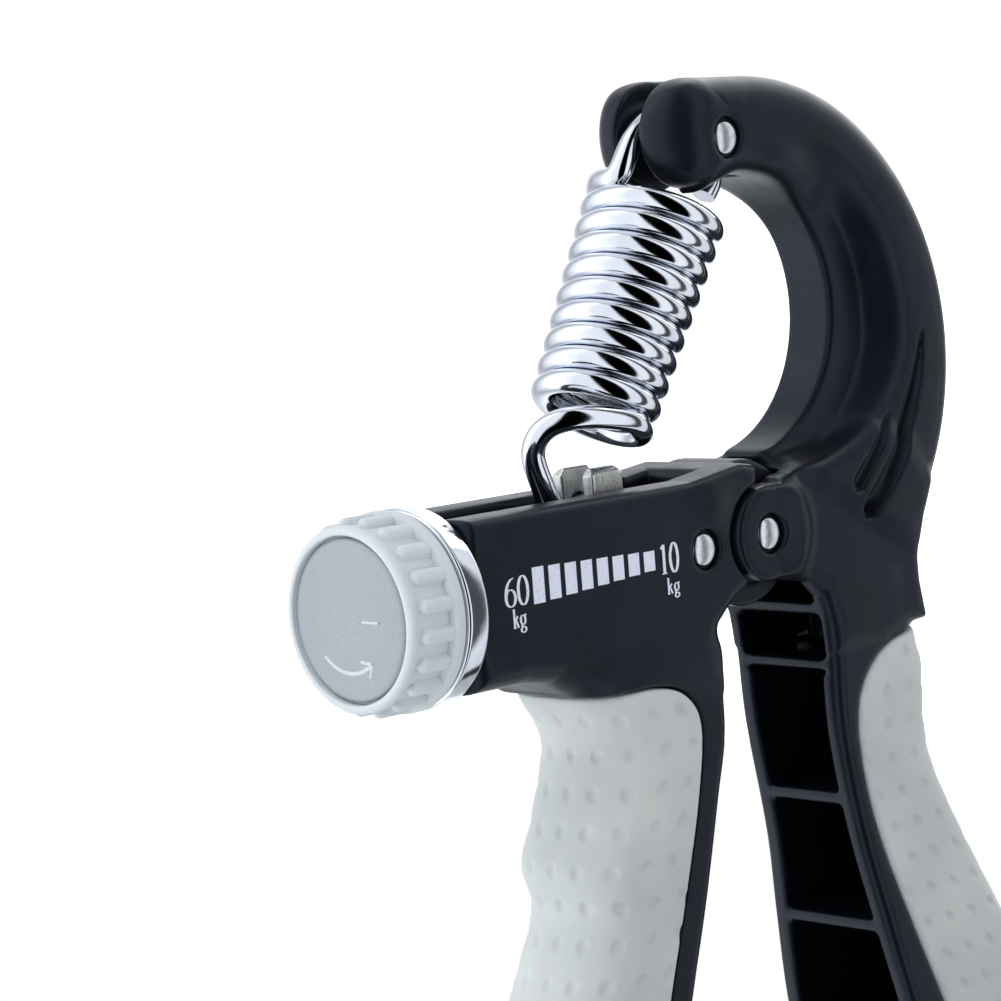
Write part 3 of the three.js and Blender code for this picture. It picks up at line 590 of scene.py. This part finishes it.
def add_pin(name, material):
    """A rivet with a domed head each side."""
    x, z, half, node, body = PIN_PLACES[name]
    seat = half - PIN_DEPTH + 0.3
    dome = [
        (PIN_HEAD * math.cos(t), seat + 0.25 + (PIN_DOME - 0.25) * math.sin(t))
        for t in np.linspace(0, math.pi / 2, 14)
    ]
    side = [(PIN_SHAFT, 0), (PIN_SHAFT, seat), (PIN_HEAD, seat), *dome[:-1], (0, seat + PIN_DOME)]
    profile = [(r, -y) for r, y in side[:0:-1]] + side
    made = turned_piece(f"rivet_{name}", profile, "y", (x, z), 72, material)
    return finish_piece(made, body, "chrome", node)


def add_knob(material):
    """The ribbed rubber ring of the knob: a smooth front lip, round ribs and a rear flange."""
    valley, start, end = KNOB_R - 1.1, KNOB_FRONT + 2.1, KNOB_REAR - 1.9
    axial = np.linspace(start - 0.2, end + 0.1, 44)
    profile = [
        (8.8, KNOB_REAR), (8.8, KNOB_FRONT + 1.8), (10.9, KNOB_FRONT + 1.8), (10.9, KNOB_FRONT + 0.55),
        (11.05, KNOB_FRONT + 0.4), (11.5, KNOB_FRONT + 0.4), (11.9, KNOB_FRONT + 0.6),
        (12.15, KNOB_FRONT + 1.0), (12.1, KNOB_FRONT + 1.5), *[(valley, a) for a in axial],
        (12.9, end + 0.15), (13.15, end + 0.4), (13.2, end + 0.8), (13.15, KNOB_REAR - 0.25),
        (12.9, KNOB_REAR), (8.8, KNOB_REAR),
    ]

    def ribbed(r, a, angle):
        pitch = 2 * math.pi / RIBS
        away = np.abs((angle / pitch) % 1 - 0.5) * pitch * KNOB_R
        nose = np.maximum(start + 1.0 - a, 0)
        rise = RIB_R * np.sqrt(np.maximum(1 - (away / RIB_R) ** 2 - nose**2, 0)) ** 0.7
        in_valley = (np.abs(r - valley) < 1e-6) & (a > start - 0.3)
        return np.where(in_valley, r + np.minimum(rise, 1.08), r), a

    made = turned_piece("knob_rubber", profile, "x", (0, SCREW_Z), RIBS * 26, material, ribbed)
    return finish_piece(made, "knob_and_screw", "grey_rubber", "knob_grip_ring")


def add_cap(material, ink):
    """The knob's cap, with a raised minus sign and a turning arrow."""
    def face(r):
        return KNOB_FRONT + 0.1 + 0.6 * (r / 10.3) ** 2.4

    back_face = KNOB_FRONT + 1.5
    profile = [(r, face(r)) for r in np.linspace(0, 9.9, 24)]
    profile += [(10.35, face(9.9) + 0.12), (10.55, face(9.9) + 0.5)]
    profile += [(10.55, back_face), (0, back_face)]
    cap = turned_piece("knob_cap_disc", profile, "x", (0, SCREW_Z), 128, material)
    finish_piece(cap, "knob_and_screw", "pale_plastic", "knob_cap")
    arc_angles = np.radians(np.linspace(-45, -128, 30))
    arc = [(6.75 * math.cos(t), 6.75 * math.sin(t)) for t in arc_angles]
    marks = [([(-6.1, 0), (-3.1, 0)], 0.2), (arc, 0.28)]
    head_at, back = np.array(arc[-1]), np.array(arc[-5])
    heading = (head_at - back) / np.linalg.norm(head_at - back)
    across = np.array([-heading[1], heading[0]])
    marks += [([head_at, head_at - 1.6 * heading + s * 1.2 * across], 0.24) for s in (-1, 1)]
    points, quads = [], []
    for line, half in marks:
        line = np.array(line, float)
        along_line = np.gradient(line, axis=0)
        along_line /= np.linalg.norm(along_line, axis=1)[:, None]
        sideways = np.stack([-along_line[:, 1], along_line[:, 0]], 1)
        for k, (p, s) in enumerate(zip(line, sideways)):
            for offset, lift in ((-half, -0.02), (-half * 0.5, 0.1), (half * 0.5, 0.1), (half, -0.02)):
                y, z = p + s * offset
                points.append((face(math.hypot(y, z)) - lift, y, z + SCREW_Z))
            if k:
                base = len(points) - 8
                quads += [(base + c, base + 4 + c, base + 5 + c, base + 1 + c) for c in range(3)]
    signs = mesh_piece("knob_cap_signs", points, quads, ink)
    finish_piece(signs, "knob_and_screw", "pale_plastic")


def add_collar(material):
    profile = rounded_profile([
        (7.5, COLLAR_FRONT), (COLLAR_R, COLLAR_FRONT), (COLLAR_R, COLLAR_REAR), (7.5, COLLAR_REAR),
        (7.5, COLLAR_FRONT),
    ], 0.6, 6)
    made = turned_piece("collar_band", profile, "x", (0, SCREW_Z), 192, material)
    return finish_piece(made, "front_lever", "chrome", "collar_ring")


def add_screw(material):
    """The adjusting screw, with a real thread along the part that carries the slider."""
    start, end = -50.2, -15.2
    profile = [(0, -62.9), (2.2, -62.9), (SCREW_R, -62.6), (SCREW_R, start)]
    profile += [(SCREW_R, a) for a in np.arange(start + 0.1, end, 0.2)]
    profile += [(SCREW_R, end), (2.2, -14.4), (0, -14.4)]

    def threaded(r, a, angle):
        phase = np.abs((a / SCREW_LEAD - angle / (2 * math.pi)) % 1 - 0.5) * 2
        cut_in = 0.42 * np.clip(1.25 * phase - 0.12, 0, 1)
        on = (a > start) & (a < end) & (r > 2)
        return np.where(on, r - cut_in, r), a

    made = turned_piece("threaded_screw", profile, "x", (0, SCREW_Z), 48, material, threaded)
    return finish_piece(made, "knob_and_screw", "steel", "adjusting_screw")


def add_slider(material):
    grid = Grid((-28.6, -4.4, -7.4), (-19.4, 4.4, 12.8), FINE)
    side_view = outline(grid, [
        (-28, -6.9), (-20, -6.9), (-20, 3), (-20.9, 5), (-20.9, 11), (-21.8, 12), (-26.2, 12),
        (-27.1, 11), (-27.1, 5), (-28, 3),
    ])
    body = common(side_view, grid.side - SLIDER_HALF, 0.7)
    chamfer = (grid.side - SLIDER_HALF) * 0.68 + (grid.z - 11) * 0.73 - 0.2
    body = common(body, chamfer, 0.4)
    body = minus(body, np.maximum(grid.side - WIRE_R - 0.3, 0.9 - grid.z), 0.4)
    body = minus(body, np.hypot(grid.y, grid.z - SCREW_Z) - SCREW_R - 0.3, 0.2)
    body = minus(body, disc(grid, *SLIDER_PIN, 1.8) + 0 * grid.y, 0.2)
    made = field_piece("slider_block", grid, body, material)
    return finish_piece(made, "slider", "nickel", "slider_carriage")


# ---- Spring ----
TOP_HOOK = (
    (2.9, 46.9), (4.5, 49.2), (4.8, 52.8), (2.7, 56.8), (-1.8, 58.95), (-6.5, 58.2), (-10.4, 55.6),
)
BOTTOM_HOOK = (
    (-29.6, -5.3, 19.3), (-33.2, -2.3, 18.3), (-34.1, -0.3, 15.2), (-32.7, 0, 10.8), (-29.9, 0, 5.6),
    (-24, 0, 3), (-20.3, 0, 5.2), (-19.4, 0, 8.2), (-19.2, 0, 10),
)
FIRST_SEAM, LAST_SEAM = 0.5, 9.25  # turns where one length of wire hands over to the next


def coil_point(turn):
    """Centre of the wire after that many turns from the top."""
    (x0, z0), (x1, z1) = COIL_TOP, COIL_END
    length = math.hypot(x1 - x0, z1 - z0)
    left_x, left_z = (z1 - z0) / length, -(x1 - x0) / length
    share = turn / COIL_TURNS
    r = COIL_R_TOP + (COIL_R_END - COIL_R_TOP) * share
    c, s = r * math.cos(2 * math.pi * turn), r * math.sin(2 * math.pi * turn)
    return x0 + (x1 - x0) * share + c * left_x, s, z0 + (z1 - z0) * share + c * left_z


def coil_line(start, end, per_turn=200):
    count = max(2, round((end - start) * per_turn))
    return [coil_point(start + (end - start) * k / count) for k in range(count + 1)]


def on_axis(turn):
    """The spring's own axis beside that turn, as a point of the frame."""
    share = turn / COIL_TURNS
    return place(
        COIL_TOP[0] + (COIL_END[0] - COIL_TOP[0]) * share, 0,
        COIL_TOP[1] + (COIL_END[1] - COIL_TOP[1]) * share,
    )


def wire_section(material):
    """Geometry nodes that sweep a round section along a line, so it stays round in every pose."""
    group = bpy.data.node_groups.new("wire_section", "GeometryNodeTree")
    for way in ("INPUT", "OUTPUT"):
        group.interface.new_socket("Geometry", in_out=way, socket_type="NodeSocketGeometry")
    made = {
        kind: group.nodes.new(kind) for kind in (
            "NodeGroupInput", "GeometryNodeMeshToCurve", "GeometryNodeCurvePrimitiveCircle",
            "GeometryNodeCurveToMesh", "GeometryNodeSetShadeSmooth", "GeometryNodeSetMaterial",
            "NodeGroupOutput",
        )
    }
    start, line, circle, sweep, smooth, paint, end = made.values()
    circle.inputs["Resolution"].default_value = 28
    circle.inputs["Radius"].default_value = WIRE_R * MM
    sweep.inputs["Fill Caps"].default_value = True
    paint.inputs["Material"].default_value = material
    link = group.links.new
    link(start.outputs[0], line.inputs[0])
    link(line.outputs[0], sweep.inputs["Curve"])
    link(circle.outputs["Curve"], sweep.inputs["Profile Curve"])
    link(sweep.outputs[0], smooth.inputs[0])
    link(smooth.outputs[0], paint.inputs[0])
    link(paint.outputs[0], end.inputs[0])
    return group


def wire_piece(name, line, material, section):
    """One length of the wire: its centre line, and the modifier that gives it a body."""
    points = np.array(line, float) * MM + np.array(PIVOT)
    mesh = bpy.data.meshes.new(name)
    mesh.from_pydata(points.tolist(), [(k, k + 1) for k in range(len(points) - 1)], [])
    mesh.materials.append(material)
    made = bpy.data.objects.new(name, mesh)
    bpy.context.scene.collection.objects.link(made)
    made.modifiers.new("wire", "NODES").node_group = section
    return made


def add_spring(material):
    """The spring's one wire in four lengths: the bottom length is attached to the spring's bottom end, the
    other three stay fixed in the frame.
    """
    section = wire_section(material)
    lead = 1 / 12  # a step of coil beyond a seam, drawn for its direction and then dropped
    hook = [(x, 0, z) for x, z in TOP_HOOK]
    top_line = spline([*hook, *coil_line(0, FIRST_SEAM + lead, 12)], 8)[:-8]
    bottom_line = spline([*coil_line(LAST_SEAM - lead, COIL_TURNS, 12), *BOTTOM_HOOK], 8)[8:]
    for name, line, node, bodies, span in (
        ("wire_top", top_line, "spring_top_hook", ("spring_top_end", "spring_upper"),
         (place(-3, 0, 56), on_axis(0))),
        ("wire_upper", coil_line(FIRST_SEAM, SPLIT_TURN), "spring_upper_coil",
         ("spring_upper", "spring_lower"), (on_axis(FIRST_SEAM), on_axis(SPLIT_TURN))),
        ("wire_lower", coil_line(SPLIT_TURN, LAST_SEAM), "spring_lower_coil",
         ("spring_lower", "spring_bottom_end"), (on_axis(SPLIT_TURN), on_axis(LAST_SEAM))),
        ("wire_bottom", bottom_line, "spring_bottom_hook", ("spring_bottom_end",), ()),
    ):
        made = wire_piece(name, line, material, section)
        if span:
            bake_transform(made)
        else:
            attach(made, *bodies)
        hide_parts(node)


# ---- Printed scale ----
def arc_points(x, z, rx, rz, start, end, count=26):
    turn = np.radians(np.linspace(start, end, count))
    return [(x + rx * math.cos(a), z + rz * math.sin(a)) for a in turn]


GLYPHS = {  # strokes in a box one high; the pen is broad on upright runs and thin on level ones
    "6": [
        [(0.5, 0.95), (0.33, 0.9), (0.17, 0.74), (0.08, 0.52), (0.06, 0.3)],
        arc_points(0.3, 0.3, 0.24, 0.28, 180, 540),
    ],
    "0": [arc_points(0.3, 0.5, 0.25, 0.48, 0, 360)],
    "1": [[(0.28, 0.02), (0.28, 0.97)], [(0.28, 0.96), (0.1, 0.84)], [(0.1, 0.02), (0.46, 0.02)]],
    "k": [
        [(0.14, 0.0), (0.14, 1.0)], [(0.02, 0.02), (0.28, 0.02)], [(0.03, 0.98), (0.14, 0.98)],
        [(0.16, 0.32), (0.46, 0.62)], [(0.26, 0.42), (0.5, 0.02)],
    ],
    "g": [
        arc_points(0.26, 0.38, 0.2, 0.24, 0, 360), [(0.4, 0.56), (0.54, 0.66)],
        [(0.16, 0.15), (0.14, 0.04), (0.4, 0.0), (0.48, -0.14), (0.3, -0.27), (0.1, -0.2),
         (0.1, -0.08), (0.2, 0.02)],
    ],
}
WORDS = (  # word, left edge, width, foot and height on the near side of the arm
    ("60", -50.6, 4.5, -3.1, 3.9), ("10", -21.7, 3.8, -2.8, 4.1),
    ("kg", -49.5, 2.6, -5.9, 2.5), ("kg", -20.6, 2.6, -5.6, 2.2),
)
BARS, BAR_START, BAR_PITCH, BAR_WIDTH = 8, -45.49, 2.965, 2.1


def pen_stroke(line, thin, broad):
    line = spline(line, 4) if len(line) > 2 else np.array(line, float)
    run = np.gradient(line, axis=0)
    run /= np.maximum(np.linalg.norm(run, axis=1), 1e-6)[:, None]
    half = (thin + (broad - thin) * np.abs(run[:, 1:]) ** 1.5) / 2
    side = np.stack([-run[:, 1], run[:, 0]], 1) * half
    left, right = line + side, line - side
    return [(left[k], left[k + 1], right[k + 1], right[k]) for k in range(len(line) - 1)]


def add_scale(material):
    """The weight scale: eight bars that shorten towards the light end, a number and unit each end."""
    shapes = []
    for k in range(BARS):
        share = k / (BARS - 1)
        x, top, foot = BAR_START + BAR_PITCH * k, 1.49 - 0.82 * share, -3.28 + 1.27 * share
        shapes.append(((x, foot), (x + BAR_WIDTH, foot), (x + BAR_WIDTH, top), (x, top)))
    for word, left, width, foot, height in WORDS:
        advance = width / len(word)
        for k, letter in enumerate(word):
            for stroke in GLYPHS[letter]:
                scaled = [
                    (left + advance * (k + x / 0.66), foot + height * z) for x, z in stroke]
                shapes += pen_stroke(scaled, 0.14, 0.1 * height + 0.12)
    face, layer = -ARM_HALF - 0.012, 0.0006  # each stroke lies on the one before
    points = [
        (x, face - layer * (k % 90), z) for k, shape in enumerate(shapes) for x, z in shape]
    quads = np.arange(len(points)).reshape(-1, 4)
    made = mesh_piece("printed_scale", points, quads, material, smooth=False)
    tool = bmesh_of(made.data)
    wrong = [f for f in tool.faces if f.normal.y > 0]
    bmesh.ops.reverse_faces(tool, faces=wrong)
    tool.to_mesh(made.data)
    tool.free()
    return finish_piece(made, "front_lever", "pale_plastic")


# ---- Materials ----
class Look:
    """A node material built up from noise in the piece's own space."""

    def __init__(self, name, metallic=0.0, specular=0.5, coat=0.0):
        self.material = bpy.data.materials.new(name)
        self.material.use_nodes = True
        self.nodes, self.links = self.material.node_tree.nodes, self.material.node_tree.links
        self.shader = self.nodes["Principled BSDF"]
        self.shader.inputs["Metallic"].default_value = metallic
        self.shader.inputs["Specular IOR Level"].default_value = specular
        self.shader.inputs["Coat Weight"].default_value = coat
        self.place = self.nodes.new("ShaderNodeTexCoord").outputs["Object"]
        self.bump = None

    def noise(self, size_mm, detail=3.0, stretch=(1, 1, 1), roughness=0.55):
        mapping = self.nodes.new("ShaderNodeMapping")
        mapping.inputs["Scale"].default_value = stretch
        self.links.new(self.place, mapping.inputs["Vector"])
        noise = self.nodes.new("ShaderNodeTexNoise")
        noise.inputs["Scale"].default_value = 1 / (size_mm * MM)
        noise.inputs["Detail"].default_value = detail
        noise.inputs["Roughness"].default_value = roughness
        self.links.new(mapping.outputs["Vector"], noise.inputs["Vector"])
        return noise.outputs["Fac"]

    def spread(self, value, low, high, start=0.3, end=0.7):
        ramp = self.nodes.new("ShaderNodeMapRange")
        for name, number in zip(("From Min", "From Max", "To Min", "To Max"), (start, end, low, high)):
            ramp.inputs[name].default_value = number
        self.links.new(value, ramp.inputs["Value"])
        return ramp.outputs["Result"]

    def colour(self, value, dark, light, start=0.3, end=0.7):
        mix = self.nodes.new("ShaderNodeMix")
        mix.data_type = "RGBA"
        mix.inputs["A"].default_value = (*dark, 1)
        mix.inputs["B"].default_value = (*light, 1)
        self.links.new(self.spread(value, 0, 1, start, end), mix.inputs["Factor"])
        self.links.new(mix.outputs["Result"], self.shader.inputs["Base Color"])
        return self

    def painted_crease_shade(self, reach_mm, tone):
        """Paints shade into the base colour where the surface is closed in, as in the foot of a groove:
        darker in creases and hollows, read from ambient occlusion.
        """
        base = self.shader.inputs["Base Color"].links[0].from_socket
        # painted shade: the ambient occlusion found here darkens the base colour towards the given tone
        shelter = self.nodes.new("ShaderNodeAmbientOcclusion")
        shelter.inputs["Distance"].default_value = reach_mm * MM
        shelter.only_local = True
        mix = self.nodes.new("ShaderNodeMix")
        mix.data_type = "RGBA"
        mix.inputs["A"].default_value = (*tone, 1)
        self.links.new(self.spread(shelter.outputs["AO"], 0, 1, 0.5, 0.97), mix.inputs["Factor"])
        self.links.new(base, mix.inputs["B"])
        self.links.new(mix.outputs["Result"], self.shader.inputs["Base Color"])
        return self

    def rough(self, value, low, high):
        self.links.new(self.spread(value, low, high), self.shader.inputs["Roughness"])
        return self

    def relief(self, value, depth_mm, strength=1.0):
        bump = self.nodes.new("ShaderNodeBump")
        bump.inputs["Strength"].default_value = strength
        bump.inputs["Distance"].default_value = depth_mm * MM
        self.links.new(value, bump.inputs["Height"])
        if self.bump:
            self.links.new(self.bump, bump.inputs["Normal"])
        self.bump = bump.outputs["Normal"]
        self.links.new(self.bump, self.shader.inputs["Normal"])
        return self


def srgb(*levels):
    """Linear colour of 8-bit sRGB levels."""
    shares = [level / 255 for level in levels]
    return tuple(s / 12.92 if s <= 0.04045 else ((s + 0.055) / 1.055) ** 2.4 for s in shares)


def black_plastic():
    """Moulded satin nylon: a fine spark-eroded grain with faint flow marks."""
    look = Look("black_plastic", specular=0.34)
    look.shader.inputs["Specular Tint"].default_value = (0.7, 0.83, 1, 1)
    look.colour(look.noise(9), srgb(12, 14, 21), srgb(19, 22, 31))
    look.rough(look.noise(4, 5), 0.3, 0.4)
    look.relief(look.noise(0.35, 4), 0.012).relief(look.noise(14, 2), 0.05, 0.5)
    return look.material


def grey_rubber():
    """Soft overmould: matt, with a fine tooth, slight handling marks and painted shade darkening its
    grooves and dimples.
    """
    look = Look("grey_rubber", specular=0.3)
    look.colour(look.noise(12, 4), srgb(197, 202, 200), srgb(212, 216, 213))
    look.rough(look.noise(3, 4), 0.6, 0.78)
    look.relief(look.noise(0.3, 5), 0.022).relief(look.noise(3.5, 3), 0.03, 0.5)
    look.shader.inputs["Sheen Weight"].default_value = 0.12
    # painted shade: grooves, dimples and rib valleys darkened towards this grey where the surface is
    # closed in
    look.painted_crease_shade(1.6, srgb(140, 144, 146))
    return look.material


def chrome():
    """Bright plating over drawn wire: nearly clean, with faint haze and drawing marks."""
    look = Look("chrome", metallic=1)
    look.colour(look.noise(5), srgb(218, 222, 230), srgb(238, 241, 247))
    look.rough(look.noise(2.2, 5), 0.045, 0.13)
    return look.relief(look.noise(0.9, 4), 0.006).material


def brushed(name, dark, light, stretch, low, high):
    """Worked metal: grain drawn out one way, with duller patches."""
    look = Look(name, metallic=1)
    look.colour(look.noise(2.5, 4, stretch), dark, light)
    look.rough(look.noise(0.8, 5, stretch), low, high)
    return look.relief(look.noise(0.3, 4, stretch), 0.012).material


def pale_plastic():
    """Pearl paint on a moulded cap: fine flake over a soft colour drift."""
    look = Look("pale_plastic", metallic=0.35, coat=0.25)
    look.colour(look.noise(0.18, 2), srgb(146, 154, 159), srgb(166, 173, 177))
    look.rough(look.noise(1.5, 4), 0.3, 0.42)
    return look.relief(look.noise(0.2, 3), 0.006).material


def cap_marks():
    """The cap's raised signs, in a paler grey than the paint round them."""
    look = Look("cap_marks", metallic=0.2)
    look.colour(look.noise(0.3, 3), srgb(196, 205, 211), srgb(216, 223, 228))
    look.rough(look.noise(0.5, 3), 0.35, 0.5)
    return look.relief(look.noise(0.2, 3), 0.006).material


def dark_nylon():
    """Turned black nylon with fine tool rings."""
    look = Look("dark_nylon", specular=0.4)
    look.colour(look.noise(3), srgb(46, 49, 54), srgb(62, 66, 72))
    look.rough(look.noise(1.2, 4), 0.45, 0.62)
    return look.relief(look.noise(0.4, 4, (4, 1, 1)), 0.015).material


def print_ink():
    """Pad-printed white ink: slightly uneven cover with tiny worn specks."""
    look = Look("print_ink", specular=0.3)
    look.colour(look.noise(0.35, 5), srgb(206, 212, 224), srgb(232, 237, 250), 0.28, 0.46)
    look.rough(look.noise(0.6, 3), 0.45, 0.6)
    return look.relief(look.noise(0.25, 3), 0.008).material


def floor_paper():
    """Seamless white paper: lit where it lies under the object, glowing further off."""
    look = Look("floor_paper", specular=0.1)
    look.colour(look.noise(40, 3), srgb(243, 244, 246), srgb(250, 250, 251))
    look.rough(look.noise(15), 0.8, 0.95)
    look.relief(look.noise(1.1, 5), 0.02)
    distance = look.nodes.new("ShaderNodeVectorMath")
    distance.operation = "LENGTH"
    look.links.new(look.place, distance.inputs[0])
    glow = look.spread(distance.outputs["Value"], 0.3, 1.0, 0.12, 0.8)
    look.shader.inputs["Emission Color"].default_value = (1, 1, 1, 1)
    look.links.new(glow, look.shader.inputs["Emission Strength"])
    return look.material


# ---- Studio ----
def add_floor():
    points, quads = revolved([(0, 0), (0.4, 0), (1.2, 0), (4, 0), (12, 0)], "y", (0, 0), 96)
    mesh = bpy.data.meshes.new("floor")
    mesh.from_pydata([(x, z, 0) for x, _, z in points], [], [tuple(q) for q in quads[96:]])
    floor = bpy.data.objects.new("floor", mesh)
    bpy.context.scene.collection.objects.link(floor)
    mesh.materials.append(floor_paper())
    floor.visible_glossy = False  # metal mirrors the dark panels instead


def add_light(name, size, watts, where, mirrored=False):
    data = bpy.data.lights.new(name, "AREA")
    data.shape, data.size, data.size_y = "RECTANGLE", size[0], size[1]
    data.energy = watts
    light = bpy.data.objects.new(name, data)
    bpy.context.scene.collection.objects.link(light)
    light.location = where
    light.rotation_euler = (PIVOT - light.location).to_track_quat("-Z", "Y").to_euler()
    light.visible_camera = False
    light.visible_glossy = mirrored


def add_world():
    """White backdrop; what the metal mirrors is a pale room with dark panels low down."""
    world = bpy.data.worlds.new("studio")
    world.use_nodes = True
    nodes, links = world.node_tree.nodes, world.node_tree.links
    nodes.clear()

    def node(kind, **values):
        made = nodes.new("ShaderNode" + kind)
        for key, value in values.items():
            setattr(made, key, value)
        return made

    way = node("SeparateXYZ")
    links.new(node("TexCoord").outputs["Generated"], way.inputs[0])
    azimuth = node("Math", operation="ARCTAN2")
    links.new(way.outputs["Y"], azimuth.inputs[0])
    links.new(way.outputs["X"], azimuth.inputs[1])
    share = node("MapRange")
    share.inputs["From Min"].default_value = -math.pi
    share.inputs["From Max"].default_value = math.pi
    links.new(azimuth.outputs[0], share.inputs["Value"])
    round_room = node("ValToRGB")
    stops = (
        (0.0, 1.05), (0.1, 1.0), (0.12, 0.0), (0.245, 0.0), (0.262, 1.0), (0.33, 1.0),
        (0.345, 0.08), (0.378, 0.08), (0.395, 0.9), (0.455, 0.8), (0.468, 0.03), (0.488, 0.03),
        (0.51, 0.8), (0.62, 1.2), (0.75, 0.5), (0.87, 1.6), (1.0, 1.05),
    )
    ramp = round_room.color_ramp
    while len(ramp.elements) < len(stops):
        ramp.elements.new(0.5)
    for element, (at, level) in zip(ramp.elements, stops):
        element.position, element.color = at, (level * 0.97, level, level * 1.06, 1)
    links.new(share.outputs["Result"], round_room.inputs["Fac"])
    ceiling = node("MapRange", interpolation_type="SMOOTHSTEP")
    ceiling.inputs["From Min"].default_value = 0.965
    ceiling.inputs["From Max"].default_value = 0.995
    links.new(way.outputs["Z"], ceiling.inputs["Value"])
    room = node("Mix", data_type="RGBA")
    room.inputs["B"].default_value = (0.6, 0.62, 0.66, 1)
    links.new(ceiling.outputs["Result"], room.inputs["Factor"])
    links.new(round_room.outputs["Color"], room.inputs["A"])
    seen, mirrored, chosen = node("Background"), node("Background"), node("MixShader")
    seen.inputs["Color"].default_value = (1, 1, 1, 1)
    links.new(room.outputs["Result"], mirrored.inputs["Color"])
    links.new(node("LightPath").outputs["Is Camera Ray"], chosen.inputs["Fac"])
    links.new(mirrored.outputs[0], chosen.inputs[1])
    links.new(seen.outputs[0], chosen.inputs[2])
    links.new(chosen.outputs[0], node("OutputWorld").inputs["Surface"])
    bpy.context.scene.world = world


def make_studio():
    bpy.context.scene.view_settings.view_transform = "Standard"
    add_world()
    add_floor()
    add_light("key", (0.5, 0.5), 1.6, (-0.75, -0.25, 0.85))
    add_light("fill", (0.4, 0.7), 0.5, (0.1, -0.9, 0.45))
    add_light("rim", (0.9, 0.9), 3.5, (0.75, 0.15, 0.65), True)


# ---- Assembly ----
def add_bodies(black, rubber):
    grid = Grid((-13.5, -14.4, FLOOR - 1), (60, 14.4, 65), VOXEL)
    rear = field_piece("rear_body", grid, rear_field(grid), black)
    finish_piece(rear, "rear_frame", "black_plastic", "rear_handle")
    grid = Grid((-57.5, -11.2, FLOOR - 1), (11.5, 11.2, 11.5), VOXEL)
    front = field_piece("front_body", grid, arm_field(grid), black)
    finish_piece(front, "front_lever", "black_plastic", "front_handle")
    grid = Grid((14, -15, GRIP_BOTTOM - 1), (60.5, 15, -15.5), VOXEL)
    shape = REAR_FRONT, REAR_BACK, REAR_HALF
    palm = field_piece("palm_grip", grid, grip_field(grid, REAR_EDGE, *shape, 1), rubber)
    finish_piece(palm, "rear_frame", "grey_rubber", "rear_grip")
    grid = Grid((-50, -12, GRIP_BOTTOM - 1), (-12, 12, -15.8), VOXEL)
    shape = FRONT_BACK, FRONT_FACE, FRONT_HALF
    finger = field_piece("finger_grip", grid, grip_field(grid, FRONT_EDGE, *shape, -1), rubber)
    finish_piece(finger, "front_lever", "grey_rubber", "front_grip")


def finish_cad_nodes(looks):
    """Pieces whose CAD shape is right keep it and take a proper finish."""
    for node, look in (
        ("screw_front_bearing", "nylon"), ("screw_end_bearing", "nylon"), ("knob_hub", "nylon"),
        ("thrust_washer", "brass"), ("retaining_clip", "steel"), ("knob_fixing_screw", "steel"),
        ("slider_pin", "steel"),
    ):
        slots = frame["nodes"][node].data.materials
        slots.clear()
        slots.append(looks[look])


def build():
    make_camera()
    looks = {
        "steel": brushed("steel", srgb(150, 154, 160), srgb(188, 192, 198), (1, 5, 5), 0.22, 0.42),
        "nickel": brushed("nickel", srgb(196, 197, 194), srgb(228, 228, 224), (6, 6, 1), 0.2, 0.4),
        "brass": brushed("brass", srgb(168, 132, 62), srgb(200, 166, 92), (1, 3, 3), 0.25, 0.42),
        "rivet": brushed("rivet", srgb(214, 217, 222), srgb(236, 238, 242), (3, 3, 3), 0.16, 0.28),
        "nylon": dark_nylon(), "chrome": chrome(), "pale": pale_plastic(),
        "ink": print_ink(), "marks": cap_marks(),
    }
    add_bodies(black_plastic(), grey_rubber())
    for name in PIN_PLACES:
        add_pin(name, looks["rivet"])
    add_knob(bpy.data.materials["grey_rubber"])
    add_cap(looks["pale"], looks["marks"])
    add_collar(looks["chrome"])
    add_screw(looks["steel"])
    add_slider(looks["nickel"])
    add_spring(looks["chrome"])
    add_scale(looks["ink"])
    finish_cad_nodes(looks)
    make_studio()


build()
